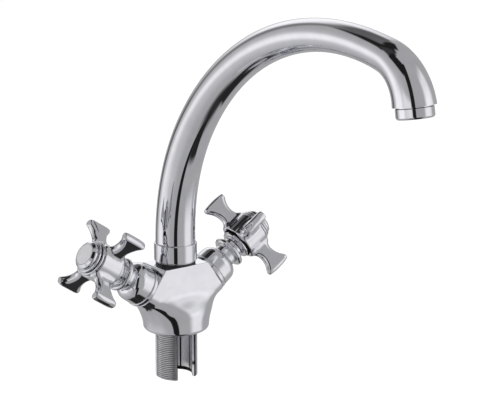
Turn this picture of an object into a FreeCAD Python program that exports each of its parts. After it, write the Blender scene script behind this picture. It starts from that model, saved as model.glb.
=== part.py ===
import FreeCAD
import Part
import Sketcher

import math
import os
import re

from FreeCAD import Placement, Rotation, Vector

# A deck-mounted kitchen mixer with one tap hole. A Y-shaped brass casting stands on a slotted,
# threaded shank and carries a tall swivelling swan-neck spout. Each arm of the Y holds a
# quarter-turn ceramic valve under a bell-shaped shroud and a four-blade cross handle.
#
# Frame: millimetres, Z up, origin on the shank's axis at the underside of the base.
# The spout points along -Y. The hot side is -X and the cold side is +X.

# alias, value, meaning
SIZES = [
    # casting
    ("base_diameter", 50, "round foot of the casting"),
    ("base_side", 15.5, "height of the foot's straight side, before rounding"),
    ("base_edge", 3.2, "rounding of the foot's lower edge"),
    ("shoulder_radius", 9, "rounding of the foot's upper edge"),
    ("shoulder_height", 33, "height where the foot has run out into the flat faces"),
    ("shoulder_inset", 1, "how far inside the flat faces the foot's slope ends"),
    ("casting_thickness", 30, "front to back across the flat faces"),
    ("plateau_height", 51.5, "flat top that the spout turns on"),
    ("arm_angle", 34, "rise of the arms above level"),
    ("arm_height", 17.6, "height at which the arm axes cross the shank axis"),
    ("arm_reach", 35.2, "flat end of an arm, along its axis from the crossing"),
    ("arm_depth", 15.2, "arm axis to the underside of the arm"),
    ("arm_rounding", 11, "rounding along the underside of an arm"),
    # shank
    ("shank_diameter", 32, "outside of the mounting thread, 1.5 mm pitch"),
    ("shank_length", 38, "thread below the base"),
    ("shank_seat", 9, "spigot above the shank's shoulder, screwed into the casting"),
    ("shank_seat_diameter", 30, "outside of that spigot"),
    ("shank_relief", 0.3, "shallow recess in the casting over the shank's shoulder"),
    ("shank_bore", 24, "inside of the shank"),
    ("shank_chamfer", 1, "lead-in at the lower end"),
    ("slot_width", 18.6, "slot in the front of the shank"),
    # waterways
    ("inlet_diameter", 10, "threaded hose inlet"),
    ("inlet_depth", 9, "length of the inlet thread"),
    ("inlet_offset", 6, "inlet axis to the shank axis"),
    ("passage_diameter", 6, "drilled passage from an inlet to its valve seat"),
    ("port_diameter", 20.9, "bore that holds a valve"),
    ("port_seat", 16, "valve seat, along the arm axis from the crossing"),
    ("seat_hole_start", 8, "inner end of the hole through the valve seat"),
    ("mixing_diameter", 5, "cross drilling from the valves to the spout socket"),
    ("mixing_depth", 17, "plateau to the cross drilling"),
    # spout socket
    ("socket_diameter", 18, "bore that the spout stem turns in"),
    ("socket_depth", 20, "plateau to the socket's floor"),
    ("running_gap", 0.05, "radial clearance of a turning or plugged-in round piece"),
    ("face_gap", 0.1, "clearance between faces that turn past each other"),
    # spout
    ("slide_ring_height", 1.8, "nylon ring between plateau and collar"),
    ("slide_ring_diameter", 30, "outside of the nylon ring"),
    ("collar_wall", 1, "wall of the ring round the foot of the tube"),
    ("collar_height", 14.1, "height of that ring"),
    ("collar_floor", 3.4, "floor of the ring, brazed to the stem"),
    ("collar_rounding", 1.2, "rounding of the ring's lower edge"),
    ("stem_bore", 11, "water way through the stem"),
    ("stem_depth", 14.5, "plateau to the stem's lower end"),
    ("stem_flange_gap", 0.65, "gap round the flange inside the tube"),
    ("stem_flange_height", 2.5, "thickness of that flange"),
    ("o_ring_section", 1.5, "cord diameter of the spout's sealing rings"),
    ("o_ring_centre", 16.4, "diameter at the middle of a sealing ring"),
    ("lower_o_ring_depth", 12.3, "plateau to the lower sealing ring"),
    ("upper_o_ring_depth", 2.5, "plateau to the upper sealing ring"),
    ("lock_depth", 7.5, "plateau to the grub screw and its groove"),
    ("lock_groove_width", 5, "height of the groove round the stem"),
    ("lock_groove_diameter", 15.6, "diameter at the groove's floor"),
    ("lock_screw_diameter", 5, "grub screw"),
    ("lock_screw_length", 6, "length of the grub screw"),
    ("lock_screw_tip", 3, "diameter of its dog point"),
    ("lock_recess", 0.5, "grub screw below the casting's face"),
    ("lock_tip_gap", 0.3, "dog point to the floor of the groove"),
    ("tube_foot_diameter", 30.3, "tube in the collar"),
    ("tube_quarter_diameter", 27.4, "tube at a quarter of its length"),
    ("tube_half_diameter", 24.9, "tube at half its length"),
    ("tube_slim_diameter", 22.2, "tube at its slimmest, past the top"),
    ("tube_end_diameter", 28.2, "tube at the outlet"),
    ("tube_wall", 1.5, "wall of the tube"),
    ("first_bend_start", 72, "height where the tube starts to lean"),
    ("first_bend_radius", 159, "radius of the lower bend"),
    ("first_bend_angle", 33, "turn of the lower bend"),
    ("crown_radius", 194, "radius over the top"),
    ("crown_angle", 70.7, "turn over the top"),
    ("last_bend_radius", 35, "radius down to the outlet"),
    ("last_bend_angle", 65.8, "turn down to the outlet"),
    # aerator
    ("aerator_diameter", 24.8, "visible ring below the tube"),
    ("aerator_drop", 7.8, "how far it stands out of the tube"),
    ("aerator_thread", 22, "threaded part inside the tube"),
    ("aerator_thread_length", 6, "length of that thread"),
    ("aerator_bore", 20, "hole through the housing"),
    ("aerator_lip", 17.5, "hole through the housing's lower lip"),
    ("aerator_lip_height", 1.4, "thickness of that lip"),
    ("aerator_gasket_height", 1.5, "rubber ring above the housing"),
    ("insert_cell", 2.6, "pitch of the holes in the flow insert"),
    ("insert_hole", 1.6, "diameter of those holes"),
    # valve
    ("seal_height", 2.4, "rubber seat seal"),
    ("seal_diameter", 13, "outside of the seat seal"),
    ("seal_bore", 8, "hole through the seat seal"),
    ("disc_diameter", 17.8, "ceramic discs"),
    ("disc_height", 3.2, "thickness of a ceramic disc"),
    ("disc_port", 6.2, "radius of the quarter port in a disc"),
    ("disc_port_angle", 70, "sweep of a port"),
    ("sleeve_bore", 18, "inside of the valve body round the discs"),
    ("sleeve_diameter", 19.4, "outside of the valve body round the discs"),
    ("sleeve_length", 10, "length of that slimmer stretch"),
    ("window_diameter", 5, "side windows that let the water out of the discs"),
    ("carrier_height", 4, "driver plate at the foot of the valve stem"),
    ("valve_hex", 22, "across the flats of the valve body"),
    ("valve_hex_height", 6, "height of the hexagon"),
    ("valve_gasket_height", 1, "fibre ring under the hexagon"),
    ("valve_gasket_diameter", 24, "outside of the fibre ring"),
    ("valve_neck", 15, "threaded neck of the valve body"),
    ("valve_neck_length", 16, "length of that neck"),
    ("spindle_diameter", 8, "stem through the neck"),
    ("spindle_groove", 6, "diameter in the groove of the stem's sealing ring"),
    ("spindle_o_ring_section", 0.95, "cord diameter of the stem's sealing ring"),
    ("spindle_plain_length", 6, "plain stem between the neck and the spline"),
    ("spline_diameter", 7.8, "over the teeth of the spline"),
    ("spline_depth", 0.6, "depth of a tooth"),
    ("spline_teeth", 20, "number of teeth"),
    ("spline_length", 12, "length of the spline"),
    # shroud
    ("flange_diameter", 31.8, "ring that meets the casting"),
    ("flange_height", 3.2, "height of that ring"),
    ("bell_foot", 31, "bell just above the ring"),
    ("bell_brow", 29.2, "bell below its rounded shoulder"),
    ("bell_height", 18.4, "shoulder above the casting"),
    ("bell_rounding", 4.6, "rounding of the shoulder"),
    ("bell_bore", 25.6, "hollow round the hexagon"),
    ("bell_bore_depth", 9.5, "depth of that hollow"),
    ("neck_diameter", 18.2, "neck between bell and bead"),
    ("neck_length", 4.6, "length of that neck"),
    ("bead_diameter", 26.4, "turned bead on the shroud"),
    ("bead_height", 4.4, "height of that bead"),
    ("throat_diameter", 17, "shroud above the bead"),
    ("throat_length", 2.6, "length of that stretch"),
    # handle
    ("handle_gap", 0.6, "gap between shroud and handle"),
    ("cuff_diameter", 22.4, "bead at the foot of the handle"),
    ("cuff_height", 3, "height of that bead"),
    ("cuff_start", 1.4, "plain foot below that bead"),
    ("handle_foot", 17.2, "diameter of that plain foot"),
    ("hub_diameter", 28.8, "hub between the blades"),
    ("hub_length", 17.8, "length of the hub"),
    ("hub_rounding", 0.6, "rounding of the hub's two ends"),
    ("lower_ring", 27.2, "diameter of the turned ring next to the blades"),
    ("upper_ring", 24.8, "diameter of the turned ring under the cap"),
    ("lower_ring_height", 2, "height of the ring next to the blades"),
    ("upper_ring_height", 1.9, "height of the ring under the cap"),
    ("ring_groove", 0.4, "groove below a ring"),
    ("ring_groove_depth", 0.8, "depth of that groove"),
    ("blade_middle", 13.9, "middle of the blades above the foot of the handle"),
    ("blade_radius", 35.3, "handle axis to the end of a blade"),
    ("blade_tip_width", 19.4, "blade along the axis at its end"),
    ("blade_waist_width", 11.6, "blade along the axis at its waist"),
    ("blade_root_width", 16.4, "blade along the axis at the hub"),
    ("blade_root_depth", 1, "how far a blade goes into the hub"),
    ("blade_tip_band", 3.8, "straight side at the end of a blade"),
    ("blade_thickness", 5, "thickness of a blade"),
    ("blade_rounding", 1.7, "rounding of a blade's edges"),
    ("blade_corner", 2.2, "rounding of a blade's corners"),
    ("hot_turn", 45.4, "rest position of the hot handle's blades"),
    ("cold_turn", 52.2, "rest position of the cold handle's blades"),
    ("screw_diameter", 4, "handle screw"),
    ("screw_clearance", 0.2, "radial clearance of the screw in the hub"),
    ("screw_head", 7, "head of the handle screw"),
    ("screw_head_height", 2.8, "height of that head"),
    ("screw_reach", 7, "thread of the screw in the valve stem"),
    ("well_diameter", 12.4, "well for the screw head and the cap's plug"),
    ("well_depth", 9, "depth of that well"),
    ("cap_diameter", 21.8, "index cap"),
    ("cap_height", 4, "height of the cap above the upper ring"),
    ("cap_face", 16.1, "flat face of the cap"),
    ("cap_face_depth", 0.3, "inlaid face"),
    ("cap_bevel", 1.3, "height of the bevel round the cap"),
    ("cap_rim", 0.6, "flat rim round the inlaid face"),
    ("cap_plug_length", 5, "plug under the cap"),
    ("cap_plug_wall", 1.2, "wall of that plug"),
    # base seal
    ("seal_groove_inner", 36.5, "inside of the seal groove under the foot"),
    ("seal_groove_outer", 41.5, "outside of that groove"),
    ("seal_groove_depth", 2, "depth of that groove"),
]

SHEET = "Sizes"
SIDES = (("hot", -1), ("cold", 1))
FULL_TURN = 360

doc = FreeCAD.newDocument("kitchen_mixer")
nodes = []


# ---------------------------------------------------------------- sizes and expressions

def fill_sheet():
    """Write every driving size into the sheet under its alias."""
    sheet = doc.addObject("Spreadsheet::Sheet", SHEET)
    for row, (alias, value, meaning) in enumerate(SIZES, start=1):
        sheet.set(f"A{row}", meaning)
        sheet.set(f"B{row}", str(value))
        sheet.setAlias(f"B{row}", alias)
    doc.recompute()


fill_sheet()
ALIASES = {alias for alias, _, _ in SIZES}
probe = doc.addObject("App::FeaturePython", "Probe")
probe.addProperty("App::PropertyFloat", "Value")


def cell_name(word):
    """The sheet's cell for an alias; any other word, such as a function, as it is."""
    return f"{SHEET}.{word}" if word in ALIASES else word


def spelled(text):
    """The expression with each alias written as a cell of the sheet."""
    return re.sub(r"[a-z]\w*", lambda word: cell_name(word.group()), text)


def number(text):
    """The value of an expression, worked out by the document itself."""
    probe.setExpression("Value", spelled(str(text)))
    probe.recompute()
    return probe.Value


def bind(item, prop, text):
    """Tie one property to an expression in the sheet's aliases."""
    item.setExpression(prop, spelled(text))


def name_node(item, label, placement=None):
    """Make an object one of the mixer's pieces."""
    item.Label = label
    if placement is not None:
        item.Placement = placement
    nodes.append(item)
    return item


# ---------------------------------------------------------------- sketches and turned pieces

def origin_plane(body, role):
    """One of a body's own origin planes."""
    return next(plane for plane in body.Origin.OriginFeatures if plane.Role == role)


def pin_corner(sketch, index, kind, text):
    """Dimension a corner from the sketch's origin, along X or along Y."""
    value = number(text)
    if abs(value) < 1e-9:
        axis = -2 if kind == "DistanceX" else -1
        sketch.addConstraint(Sketcher.Constraint("PointOnObject", index, 1, axis))
        return
    if value > 0:
        ends = (-1, 1, index, 1)
    else:
        ends = (index, 1, -1, 1)
    place = sketch.addConstraint(Sketcher.Constraint(kind, *ends, abs(value)))
    sign = "" if value > 0 else "-1 * "
    sketch.setExpression(f"Constraints[{place}]", spelled(f"{sign}( {text} )"))


def outline(body, name, role, corners):
    """A closed sketch of straight sides whose corners are expressions (x, y)."""
    sketch = body.newObject("Sketcher::SketchObject", name)
    sketch.AttachmentSupport = [(origin_plane(body, role), "")]
    sketch.MapMode = "FlatFace"
    spots = [Vector(number(x), number(y), 0) for x, y in corners]
    count = len(spots)
    for index, spot in enumerate(spots):
        sketch.addGeometry(Part.LineSegment(spot, spots[(index + 1) % count]), False)
    for index in range(count):
        sketch.addConstraint(Sketcher.Constraint("Coincident", index, 2, (index + 1) % count, 1))
    for index, (x, y) in enumerate(corners):
        pin_corner(sketch, index, "DistanceX", x)
        pin_corner(sketch, index, "DistanceY", y)
    return sketch


def turned_body(name, corners):
    """A body turned about Z from a half section of (radius, height) expressions."""
    body = doc.addObject("PartDesign::Body", name)
    section = outline(body, name + "_section", "XZ_Plane", corners)
    turning = body.newObject("PartDesign::Revolution", name + "_turning")
    turning.Profile = (section, [""])
    turning.ReferenceAxis = (section, ["V_Axis"])
    turning.Angle = FULL_TURN
    section.Visibility = False
    doc.recompute()
    return body


def rims(shape, spots):
    """Names of the circular edges at the given (radius, height) values."""
    found = []
    for index, edge in enumerate(shape.Edges, start=1):
        curve = edge.Curve
        if not isinstance(curve, Part.Circle):
            continue
        for radius, height in spots:
            if abs(curve.Radius - radius) < 1e-4 and abs(curve.Center.z - height) < 1e-4:
                found.append(f"Edge{index}")
                break
    return found


def round_rims(body, radius, spots):
    """Fillet the rims of a turned body at (radius, height) expressions."""
    base = body.Tip
    places = [(number(reach), number(height)) for reach, height in spots]
    fillet = body.newObject("PartDesign::Fillet", f"{body.Name}_rounding")
    fillet.Base = (base, rims(base.Shape, places))
    bind(fillet, "Radius", radius)
    doc.recompute()
    return fillet


def cylinder(name, radius, height, placement=None):
    """A primitive cylinder with bound sizes."""
    item = doc.addObject("Part::Cylinder", name)
    bind(item, "Radius", radius)
    bind(item, "Height", height)
    if placement is not None:
        item.Placement = placement
    return item


def ring_body(name, outer, inner, foot, head):
    """A plain ring between two heights, its four sizes as expressions."""
    return turned_body(name, [(inner, foot), (outer, foot), (outer, head), (inner, head)])


def o_ring(name, section, centre):
    """A round sealing ring from its cord and its middle diameter."""
    item = doc.addObject("Part::Torus", name)
    bind(item, "Radius1", f"{centre} / 2")
    bind(item, "Radius2", f"{section} / 2")
    return item


def cut(name, base, tools):
    """The base with every tool taken out of it."""
    tool = tools[0]
    if len(tools) > 1:
        tool = doc.addObject("Part::MultiFuse", name + "_tools")
        tool.Shapes = tools
    result = doc.addObject("Part::Cut", name + "_cut")
    result.Base = base
    result.Tool = tool
    return result


def fused(name, pieces):
    """Several solids joined into one."""
    result = doc.addObject("Part::MultiFuse", name + "_fused")
    result.Shapes = pieces
    return result


# ---------------------------------------------------------------- places

def arm_placement(side, turn=0.0, along=0.0):
    """Local Z along an arm's axis, outwards, with the origin where the arm axes cross."""
    lean = Rotation(Vector(0, side, 0), 90 - number("arm_angle"))
    spin = Rotation(Vector(0, 0, 1), turn)
    start = Vector(0, 0, number("arm_height"))
    rotation = lean.multiply(spin)
    return Placement(start + rotation.multVec(Vector(0, 0, along)), rotation)


def spout_line():
    """Key points of the spout's centre line in its own plane: (reach, height, lean)."""
    bends = (("first_bend_radius", "first_bend_angle"), ("crown_radius", "crown_angle"),
             ("last_bend_radius", "last_bend_angle"))
    reach, height, lean = 0.0, number("first_bend_start"), 0.0
    line = [(reach, height, lean)]
    for radius_name, angle_name in bends:
        radius, turn = number(radius_name), math.radians(number(angle_name))
        reach += radius * (math.cos(lean) - math.cos(lean + turn))
        height += radius * (math.sin(lean + turn) - math.sin(lean))
        lean += turn
        line.append((reach, height, lean))
    return line


def outlet_placement():
    """Local Z along the outlet, pointing out of it, with the origin at the tube's end."""
    reach, height, lean = spout_line()[-1]
    return Placement(Vector(0, -reach, height), Rotation(Vector(1, 0, 0), math.degrees(lean)))


# ---------------------------------------------------------------- casting, shank and seals

ARM_TOP_X = "( arm_reach - ( plateau_height - arm_height ) * sin( arm_angle ) ) / cos( arm_angle )"
ARM_LOW_X = "arm_reach * cos( arm_angle ) + arm_depth * sin( arm_angle )"
ARM_LOW_Z = "arm_height + arm_reach * sin( arm_angle ) - arm_depth * cos( arm_angle )"
ROOT_X = "( casting_thickness - arm_rounding ) / 2"
ROOT_Z = f"{ARM_LOW_Z} - ( {ARM_LOW_X} - ( {ROOT_X} ) ) * tan( arm_angle )"
LOCK_HEIGHT = "plateau_height - lock_depth"


def casting_arm():
    """The +X half of the Y-shaped plate, rounded along the underside of its arm."""
    body = doc.addObject("PartDesign::Body", "Casting_arm")
    profile = outline(body, "Casting_outline", "XZ_Plane", [
        ("0", ROOT_Z), (ROOT_X, ROOT_Z), (ARM_LOW_X, ARM_LOW_Z),
        (ARM_TOP_X, "plateau_height"), ("0", "plateau_height")])
    plate = body.newObject("PartDesign::Pad", "Casting_plate")
    plate.Profile = (profile, [""])
    plate.SideType = "Symmetric"
    bind(plate, "Length", "casting_thickness")
    doc.recompute()
    underside = body.newObject("PartDesign::Fillet", "Casting_underside")
    underside.Base = (plate, underside_edges(plate.Shape))
    bind(underside, "Radius", "arm_rounding")
    doc.recompute()
    return body


def underside_edges(shape):
    """The two long edges under the arm of the half plate."""
    rise = math.radians(number("arm_angle"))
    slope = Vector(math.cos(rise), 0, math.sin(rise))
    found = []
    for index, edge in enumerate(shape.Edges, start=1):
        run = (edge.Vertexes[-1].Point - edge.Vertexes[0].Point).normalize()
        if abs(run.dot(slope)) > 1 - 1e-6:
            found.append(f"Edge{index}")
    return found


def mirrored(name, source):
    """The same solid on the other side of the YZ plane."""
    item = doc.addObject("Part::Mirroring", name)
    item.Source = source
    item.Normal = Vector(1, 0, 0)
    return item


def casting_foot():
    """The round foot, its upper edge rounded into a slope up to the flat faces."""
    side = "base_diameter / 2"
    crest = "casting_thickness / 2 - shoulder_inset"
    foot = turned_body("Casting_foot", [("0", "0"), (side, "0"), (side, "base_side"),
                                        (crest, "shoulder_height"), ("0", "shoulder_height")])
    round_rims(foot, "shoulder_radius", [(side, "base_side")])
    round_rims(foot, "base_edge", [(side, "0")])
    return foot


def waterways():
    """Everything drilled or bored out of the casting."""
    tools = [cylinder("Socket", "socket_diameter / 2", "socket_depth"),
             cylinder("Shank_socket", "shank_seat_diameter / 2 + running_gap", "shank_seat"),
             cylinder("Cross_drilling", "mixing_diameter / 2", "2 * port_seat"),
             cylinder("Shank_relief", "shank_diameter / 2 + running_gap", "shank_relief")]
    bind(tools[0], "Placement.Base.z", "plateau_height - socket_depth")
    tools[2].Placement = Placement(Vector(), Rotation(Vector(0, 1, 0), 90))
    bind(tools[2], "Placement.Base.x", "-1 * port_seat")
    bind(tools[2], "Placement.Base.z", "plateau_height - mixing_depth")
    for name, side in SIDES:
        port = cylinder(f"{name}_port", "port_diameter / 2", "arm_reach - port_seat + 5",
                        arm_placement(side, along=number("port_seat")))
        hole = cylinder(f"{name}_seat_hole", "passage_diameter / 2",
                        "port_seat - seat_hole_start + 1",
                        arm_placement(side, along=number("seat_hole_start")))
        inlet = cylinder(f"{name}_inlet", "inlet_diameter / 2", "inlet_depth")
        bind(inlet, "Placement.Base.x", f"{side} * inlet_offset")
        bind(inlet, "Placement.Base.z", "shank_seat")
        riser = cylinder(f"{name}_riser", "passage_diameter / 2",
                         "arm_height + seat_hole_start * sin( arm_angle ) - shank_seat")
        bind(riser, "Placement.Base.x", f"{side} * inlet_offset")
        bind(riser, "Placement.Base.z", "shank_seat")
        tools += [port, hole, inlet, riser]
    groove = ring_body("Seal_groove", "seal_groove_outer / 2", "seal_groove_inner / 2",
                       "0", "seal_groove_depth")
    lock = cylinder("Lock_thread", "lock_screw_diameter / 2", "casting_thickness / 2 + 1",
                    Placement(Vector(), Rotation(Vector(1, 0, 0), -90)))
    bind(lock, "Placement.Base.z", LOCK_HEIGHT)
    return tools + [groove, lock]


def make_casting():
    arm = casting_arm()
    casting = fused("Casting", [arm, mirrored("Casting_other_arm", arm), casting_foot()])
    name_node(cut("Mixer_body", casting, waterways()), "mixer_body")


def make_shank():
    """The threaded shank, open at the front so that hoses can be passed in."""
    outer, spigot = "shank_diameter / 2", "shank_seat_diameter / 2"
    barrel = turned_body("Shank_barrel", [
        ("shank_bore / 2", "-1 * shank_length"), (f"{outer} - shank_chamfer", "-1 * shank_length"),
        (outer, "-1 * shank_length + shank_chamfer"), (outer, "0"), (spigot, "0"),
        (spigot, "shank_seat"), ("shank_bore / 2", "shank_seat")])
    slot = doc.addObject("Part::Box", "Shank_slot")
    bind(slot, "Length", "slot_width")
    bind(slot, "Width", "shank_diameter")
    bind(slot, "Height", "shank_length + 1")
    bind(slot, "Placement.Base.x", "-1 * slot_width / 2")
    bind(slot, "Placement.Base.y", "-1 * shank_diameter")
    bind(slot, "Placement.Base.z", "-1 * shank_length - 1")
    name_node(cut("Shank", barrel, [slot]), "mounting_shank")


def make_base_seal():
    seal = ring_body("Base_seal", "seal_groove_outer / 2 - running_gap",
                     "seal_groove_inner / 2 + running_gap", "0", "seal_groove_depth")
    name_node(seal, "base_seal")


# ---------------------------------------------------------------- spout

COLLAR_FOOT = "plateau_height + slide_ring_height + face_gap"


def make_slide_ring():
    ring = ring_body("Slide_ring", "slide_ring_diameter / 2", "socket_diameter / 2 + running_gap",
                     "plateau_height", "plateau_height + slide_ring_height")
    name_node(ring, "spout_slide_ring")


def make_lock_screw():
    """Grub screw at the back; its dog point runs in the stem's groove and keeps the spout in."""
    shank = cylinder("Lock_shank", "lock_screw_diameter / 2 - running_gap", "lock_screw_length")
    bind(shank, "Placement.Base.z", "casting_thickness / 2 - lock_screw_length - lock_recess")
    tip = "( lock_groove_diameter / 2 + lock_tip_gap )"
    point = cylinder("Lock_point", "lock_screw_tip / 2",
                     f"casting_thickness / 2 - lock_recess - lock_screw_length / 2 - {tip}")
    bind(point, "Placement.Base.z", tip)
    key = doc.addObject("Part::Prism", "Lock_key")
    bind(key, "Circumradius", "lock_screw_tip / 2 * 0.9")
    bind(key, "Height", "lock_screw_length / 2")
    bind(key, "Placement.Base.z", "casting_thickness / 2 - lock_screw_length / 2")
    screw = cut("Lock_screw", fused("Lock_screw", [shank, point]), [key])
    screw.Placement = Placement(Vector(), Rotation(Vector(1, 0, 0), -90))
    bind(screw, "Placement.Base.z", LOCK_HEIGHT)
    name_node(screw, "spout_lock_screw")


def make_collar():
    foot, head = COLLAR_FOOT, f"{COLLAR_FOOT} + collar_height"
    floor = f"{COLLAR_FOOT} + collar_floor"
    hole = "socket_diameter / 2 - running_gap + 0.02"
    bore = "tube_foot_diameter / 2 + running_gap"
    outer = f"{bore} + collar_wall"
    collar = turned_body("Collar", [
        (hole, foot), (outer, foot), (outer, head), (bore, head), (bore, floor), (hole, floor)])
    round_rims(collar, "collar_rounding", [(outer, foot)])
    name_node(collar, "spout_collar")


def make_stem():
    """The nipple that turns in the casting's socket, with grooves for its rings and screw."""
    outer = "socket_diameter / 2 - running_gap"
    bore = "stem_bore / 2"
    groove = "( o_ring_centre - o_ring_section ) / 2 - running_gap"
    half = "( o_ring_section / 2 + 0.25 )"
    lock, lock_half = "lock_groove_diameter / 2", "lock_groove_width / 2"
    floor = f"{COLLAR_FOOT} + collar_floor"
    head = f"{floor} + stem_flange_height"
    flange = "tube_foot_diameter / 2 - tube_wall - stem_flange_gap"
    low, high = "plateau_height - lower_o_ring_depth", "plateau_height - upper_o_ring_depth"
    stem = turned_body("Stem", [
        (bore, "plateau_height - stem_depth"), (outer, "plateau_height - stem_depth"),
        (outer, f"{low} - {half}"), (groove, f"{low} - {half}"),
        (groove, f"{low} + {half}"), (outer, f"{low} + {half}"),
        (outer, f"{LOCK_HEIGHT} - {lock_half}"), (lock, f"{LOCK_HEIGHT} - {lock_half}"),
        (lock, f"{LOCK_HEIGHT} + {lock_half}"), (outer, f"{LOCK_HEIGHT} + {lock_half}"),
        (outer, f"{high} - {half}"), (groove, f"{high} - {half}"),
        (groove, f"{high} + {half}"), (outer, f"{high} + {half}"),
        (outer, floor), (flange, floor), (flange, head), (bore, head)])
    name_node(stem, "spout_stem")
    for place, height in (("lower", low), ("upper", high)):
        ring = o_ring(f"Spout_{place}_ring", "o_ring_section", "o_ring_centre")
        bind(ring, "Placement.Base.z", height)
        name_node(ring, f"spout_{place}_o_ring")


def tube_stations():
    """Sections of the tube: (reach, height, lean, diameter), foot to outlet."""
    foot = number(f"{COLLAR_FOOT} + collar_floor")
    start = number("first_bend_start")
    stations = [(0.0, foot, 0.0, 0.0), (0.0, start, 0.0, start - foot)]
    bends = (("first_bend_radius", "first_bend_angle", 5), ("crown_radius", "crown_angle", 9),
             ("last_bend_radius", "last_bend_angle", 6))
    for radius_name, angle_name, steps in bends:
        reach, height, lean, run = stations[-1]
        radius, turn = number(radius_name), math.radians(number(angle_name))
        for step in range(1, steps + 1):
            here = lean + turn * step / steps
            stations.append((reach + radius * (math.cos(lean) - math.cos(here)),
                             height + radius * (math.sin(here) - math.sin(lean)),
                             here, run + radius * (here - lean)))
    length = stations[-1][3]
    return [(reach, height, lean, tube_diameter(run / length))
            for reach, height, lean, run in stations]


def tube_diameter(share):
    """Outside diameter at a share of the tube's length, eased between its named diameters."""
    marks = ((0.0, "tube_foot_diameter"), (0.3, "tube_quarter_diameter"),
             (0.55, "tube_half_diameter"), (0.8, "tube_slim_diameter"), (1.0, "tube_end_diameter"))
    for (low, low_name), (high, high_name) in zip(marks, marks[1:]):
        if share <= high + 1e-9:
            part = (share - low) / (high - low)
            return number(low_name) + (number(high_name) - number(low_name)) * part
    return number(marks[-1][1])


def tube_loft(shrink):
    """A solid lofted through the tube's sections, each smaller by a shrink in radius."""
    wires = []
    for reach, height, lean, diameter in tube_stations():
        axis = Vector(0, -math.sin(lean), math.cos(lean))
        circle = Part.Circle(Vector(0, -reach, height), axis, diameter / 2 - shrink)
        circle.XAxis = Vector(1, 0, 0)
        wires.append(Part.Wire(circle.toShape()))
    return Part.makeLoft(wires, True, False)


def make_tube():
    """The tapering swan-neck tube, hollow from its foot to the outlet."""
    item = doc.addObject("Part::Feature", "Spout_tube")
    item.Shape = tube_loft(0.0).cut(tube_loft(number("tube_wall")))
    name_node(item, "spout_tube")


def make_aerator():
    """Screw-in housing with its rubber ring and perforated flow insert."""
    place = outlet_placement()
    thread, bore = "aerator_thread / 2", "aerator_bore / 2"
    top = "-1 * aerator_thread_length"
    housing = turned_body("Aerator_housing", [
        (bore, top), (thread, top), (thread, "face_gap"), ("aerator_diameter / 2", "face_gap"),
        ("aerator_diameter / 2", "aerator_drop"), ("aerator_lip / 2", "aerator_drop"),
        ("aerator_lip / 2", "aerator_drop - aerator_lip_height"),
        (bore, "aerator_drop - aerator_lip_height")])
    round_rims(housing, "aerator_lip_height / 2", [("aerator_diameter / 2", "aerator_drop")])
    name_node(housing, "aerator_housing", place)
    gasket = ring_body("Aerator_gasket", thread, "aerator_lip / 2",
                       f"{top} - aerator_gasket_height", top)
    name_node(gasket, "aerator_gasket", place)
    head = "aerator_drop - aerator_lip_height"
    disc = turned_body("Insert_disc", [
        ("0", "aerator_lip_height"), (f"{bore} - running_gap", "aerator_lip_height"),
        (f"{bore} - running_gap", head), ("0", head)])
    name_node(cut("Aerator_insert", disc, insert_holes()), "aerator_insert", place)


def insert_holes():
    """Round flow holes on rings, six more on each ring than on the one inside it."""
    pitch = number("insert_cell")
    rings = int((number("aerator_lip") / 2 - number("insert_hole") / 2) / pitch)
    holes = []
    for ring in range(rings + 1):
        count = max(1, 6 * ring)
        for index in range(count):
            angle = FULL_TURN * index / count
            spot = Rotation(Vector(0, 0, 1), angle).multVec(Vector(ring * pitch, 0, 0))
            holes.append(cylinder(f"Flow_hole_{ring}_{index}", "insert_hole / 2", "aerator_drop",
                                  Placement(spot, Rotation())))
    return holes


# ---------------------------------------------------------------- valves

SEAL_TOP = "port_seat + seal_height"
FIXED_TOP = f"{SEAL_TOP} + disc_height"
MOVING_TOP = f"{FIXED_TOP} + disc_height"
CARRIER_TOP = f"{MOVING_TOP} + carrier_height"
HEX_FOOT = "arm_reach + valve_gasket_height"
HEX_TOP = f"{HEX_FOOT} + valve_hex_height"
NECK_TOP = f"{HEX_TOP} + valve_neck_length"
SPLINE_FOOT = f"{NECK_TOP} + spindle_plain_length"
SPLINE_TOP = f"{SPLINE_FOOT} + spline_length"


def make_disc(label, foot, place, turn):
    """A ceramic disc with two quarter ports opposite each other."""
    name = f"{label}_blank"
    disc = cylinder(name, "disc_diameter / 2", "disc_height")
    bind(disc, "Placement.Base.z", foot)
    ports = []
    for index in range(2):
        port = doc.addObject("Part::Cylinder", f"{name}_port_{index}")
        bind(port, "Radius", "disc_port")
        bind(port, "Height", "disc_height + 2")
        bind(port, "Angle", "disc_port_angle")
        start = FULL_TURN / 2 * index + turn + number("( 90 - disc_port_angle ) / 2")
        port.Placement = Placement(Vector(0, 0, number(foot) - 1), Rotation(Vector(0, 0, 1), start))
        ports.append(port)
    core = cylinder(f"{name}_core", "seal_bore / 8", "disc_height")
    bind(core, "Placement.Base.z", foot)
    solid = fused(name, [cut(name, disc, ports), core])
    name_node(solid, label, place)


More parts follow.
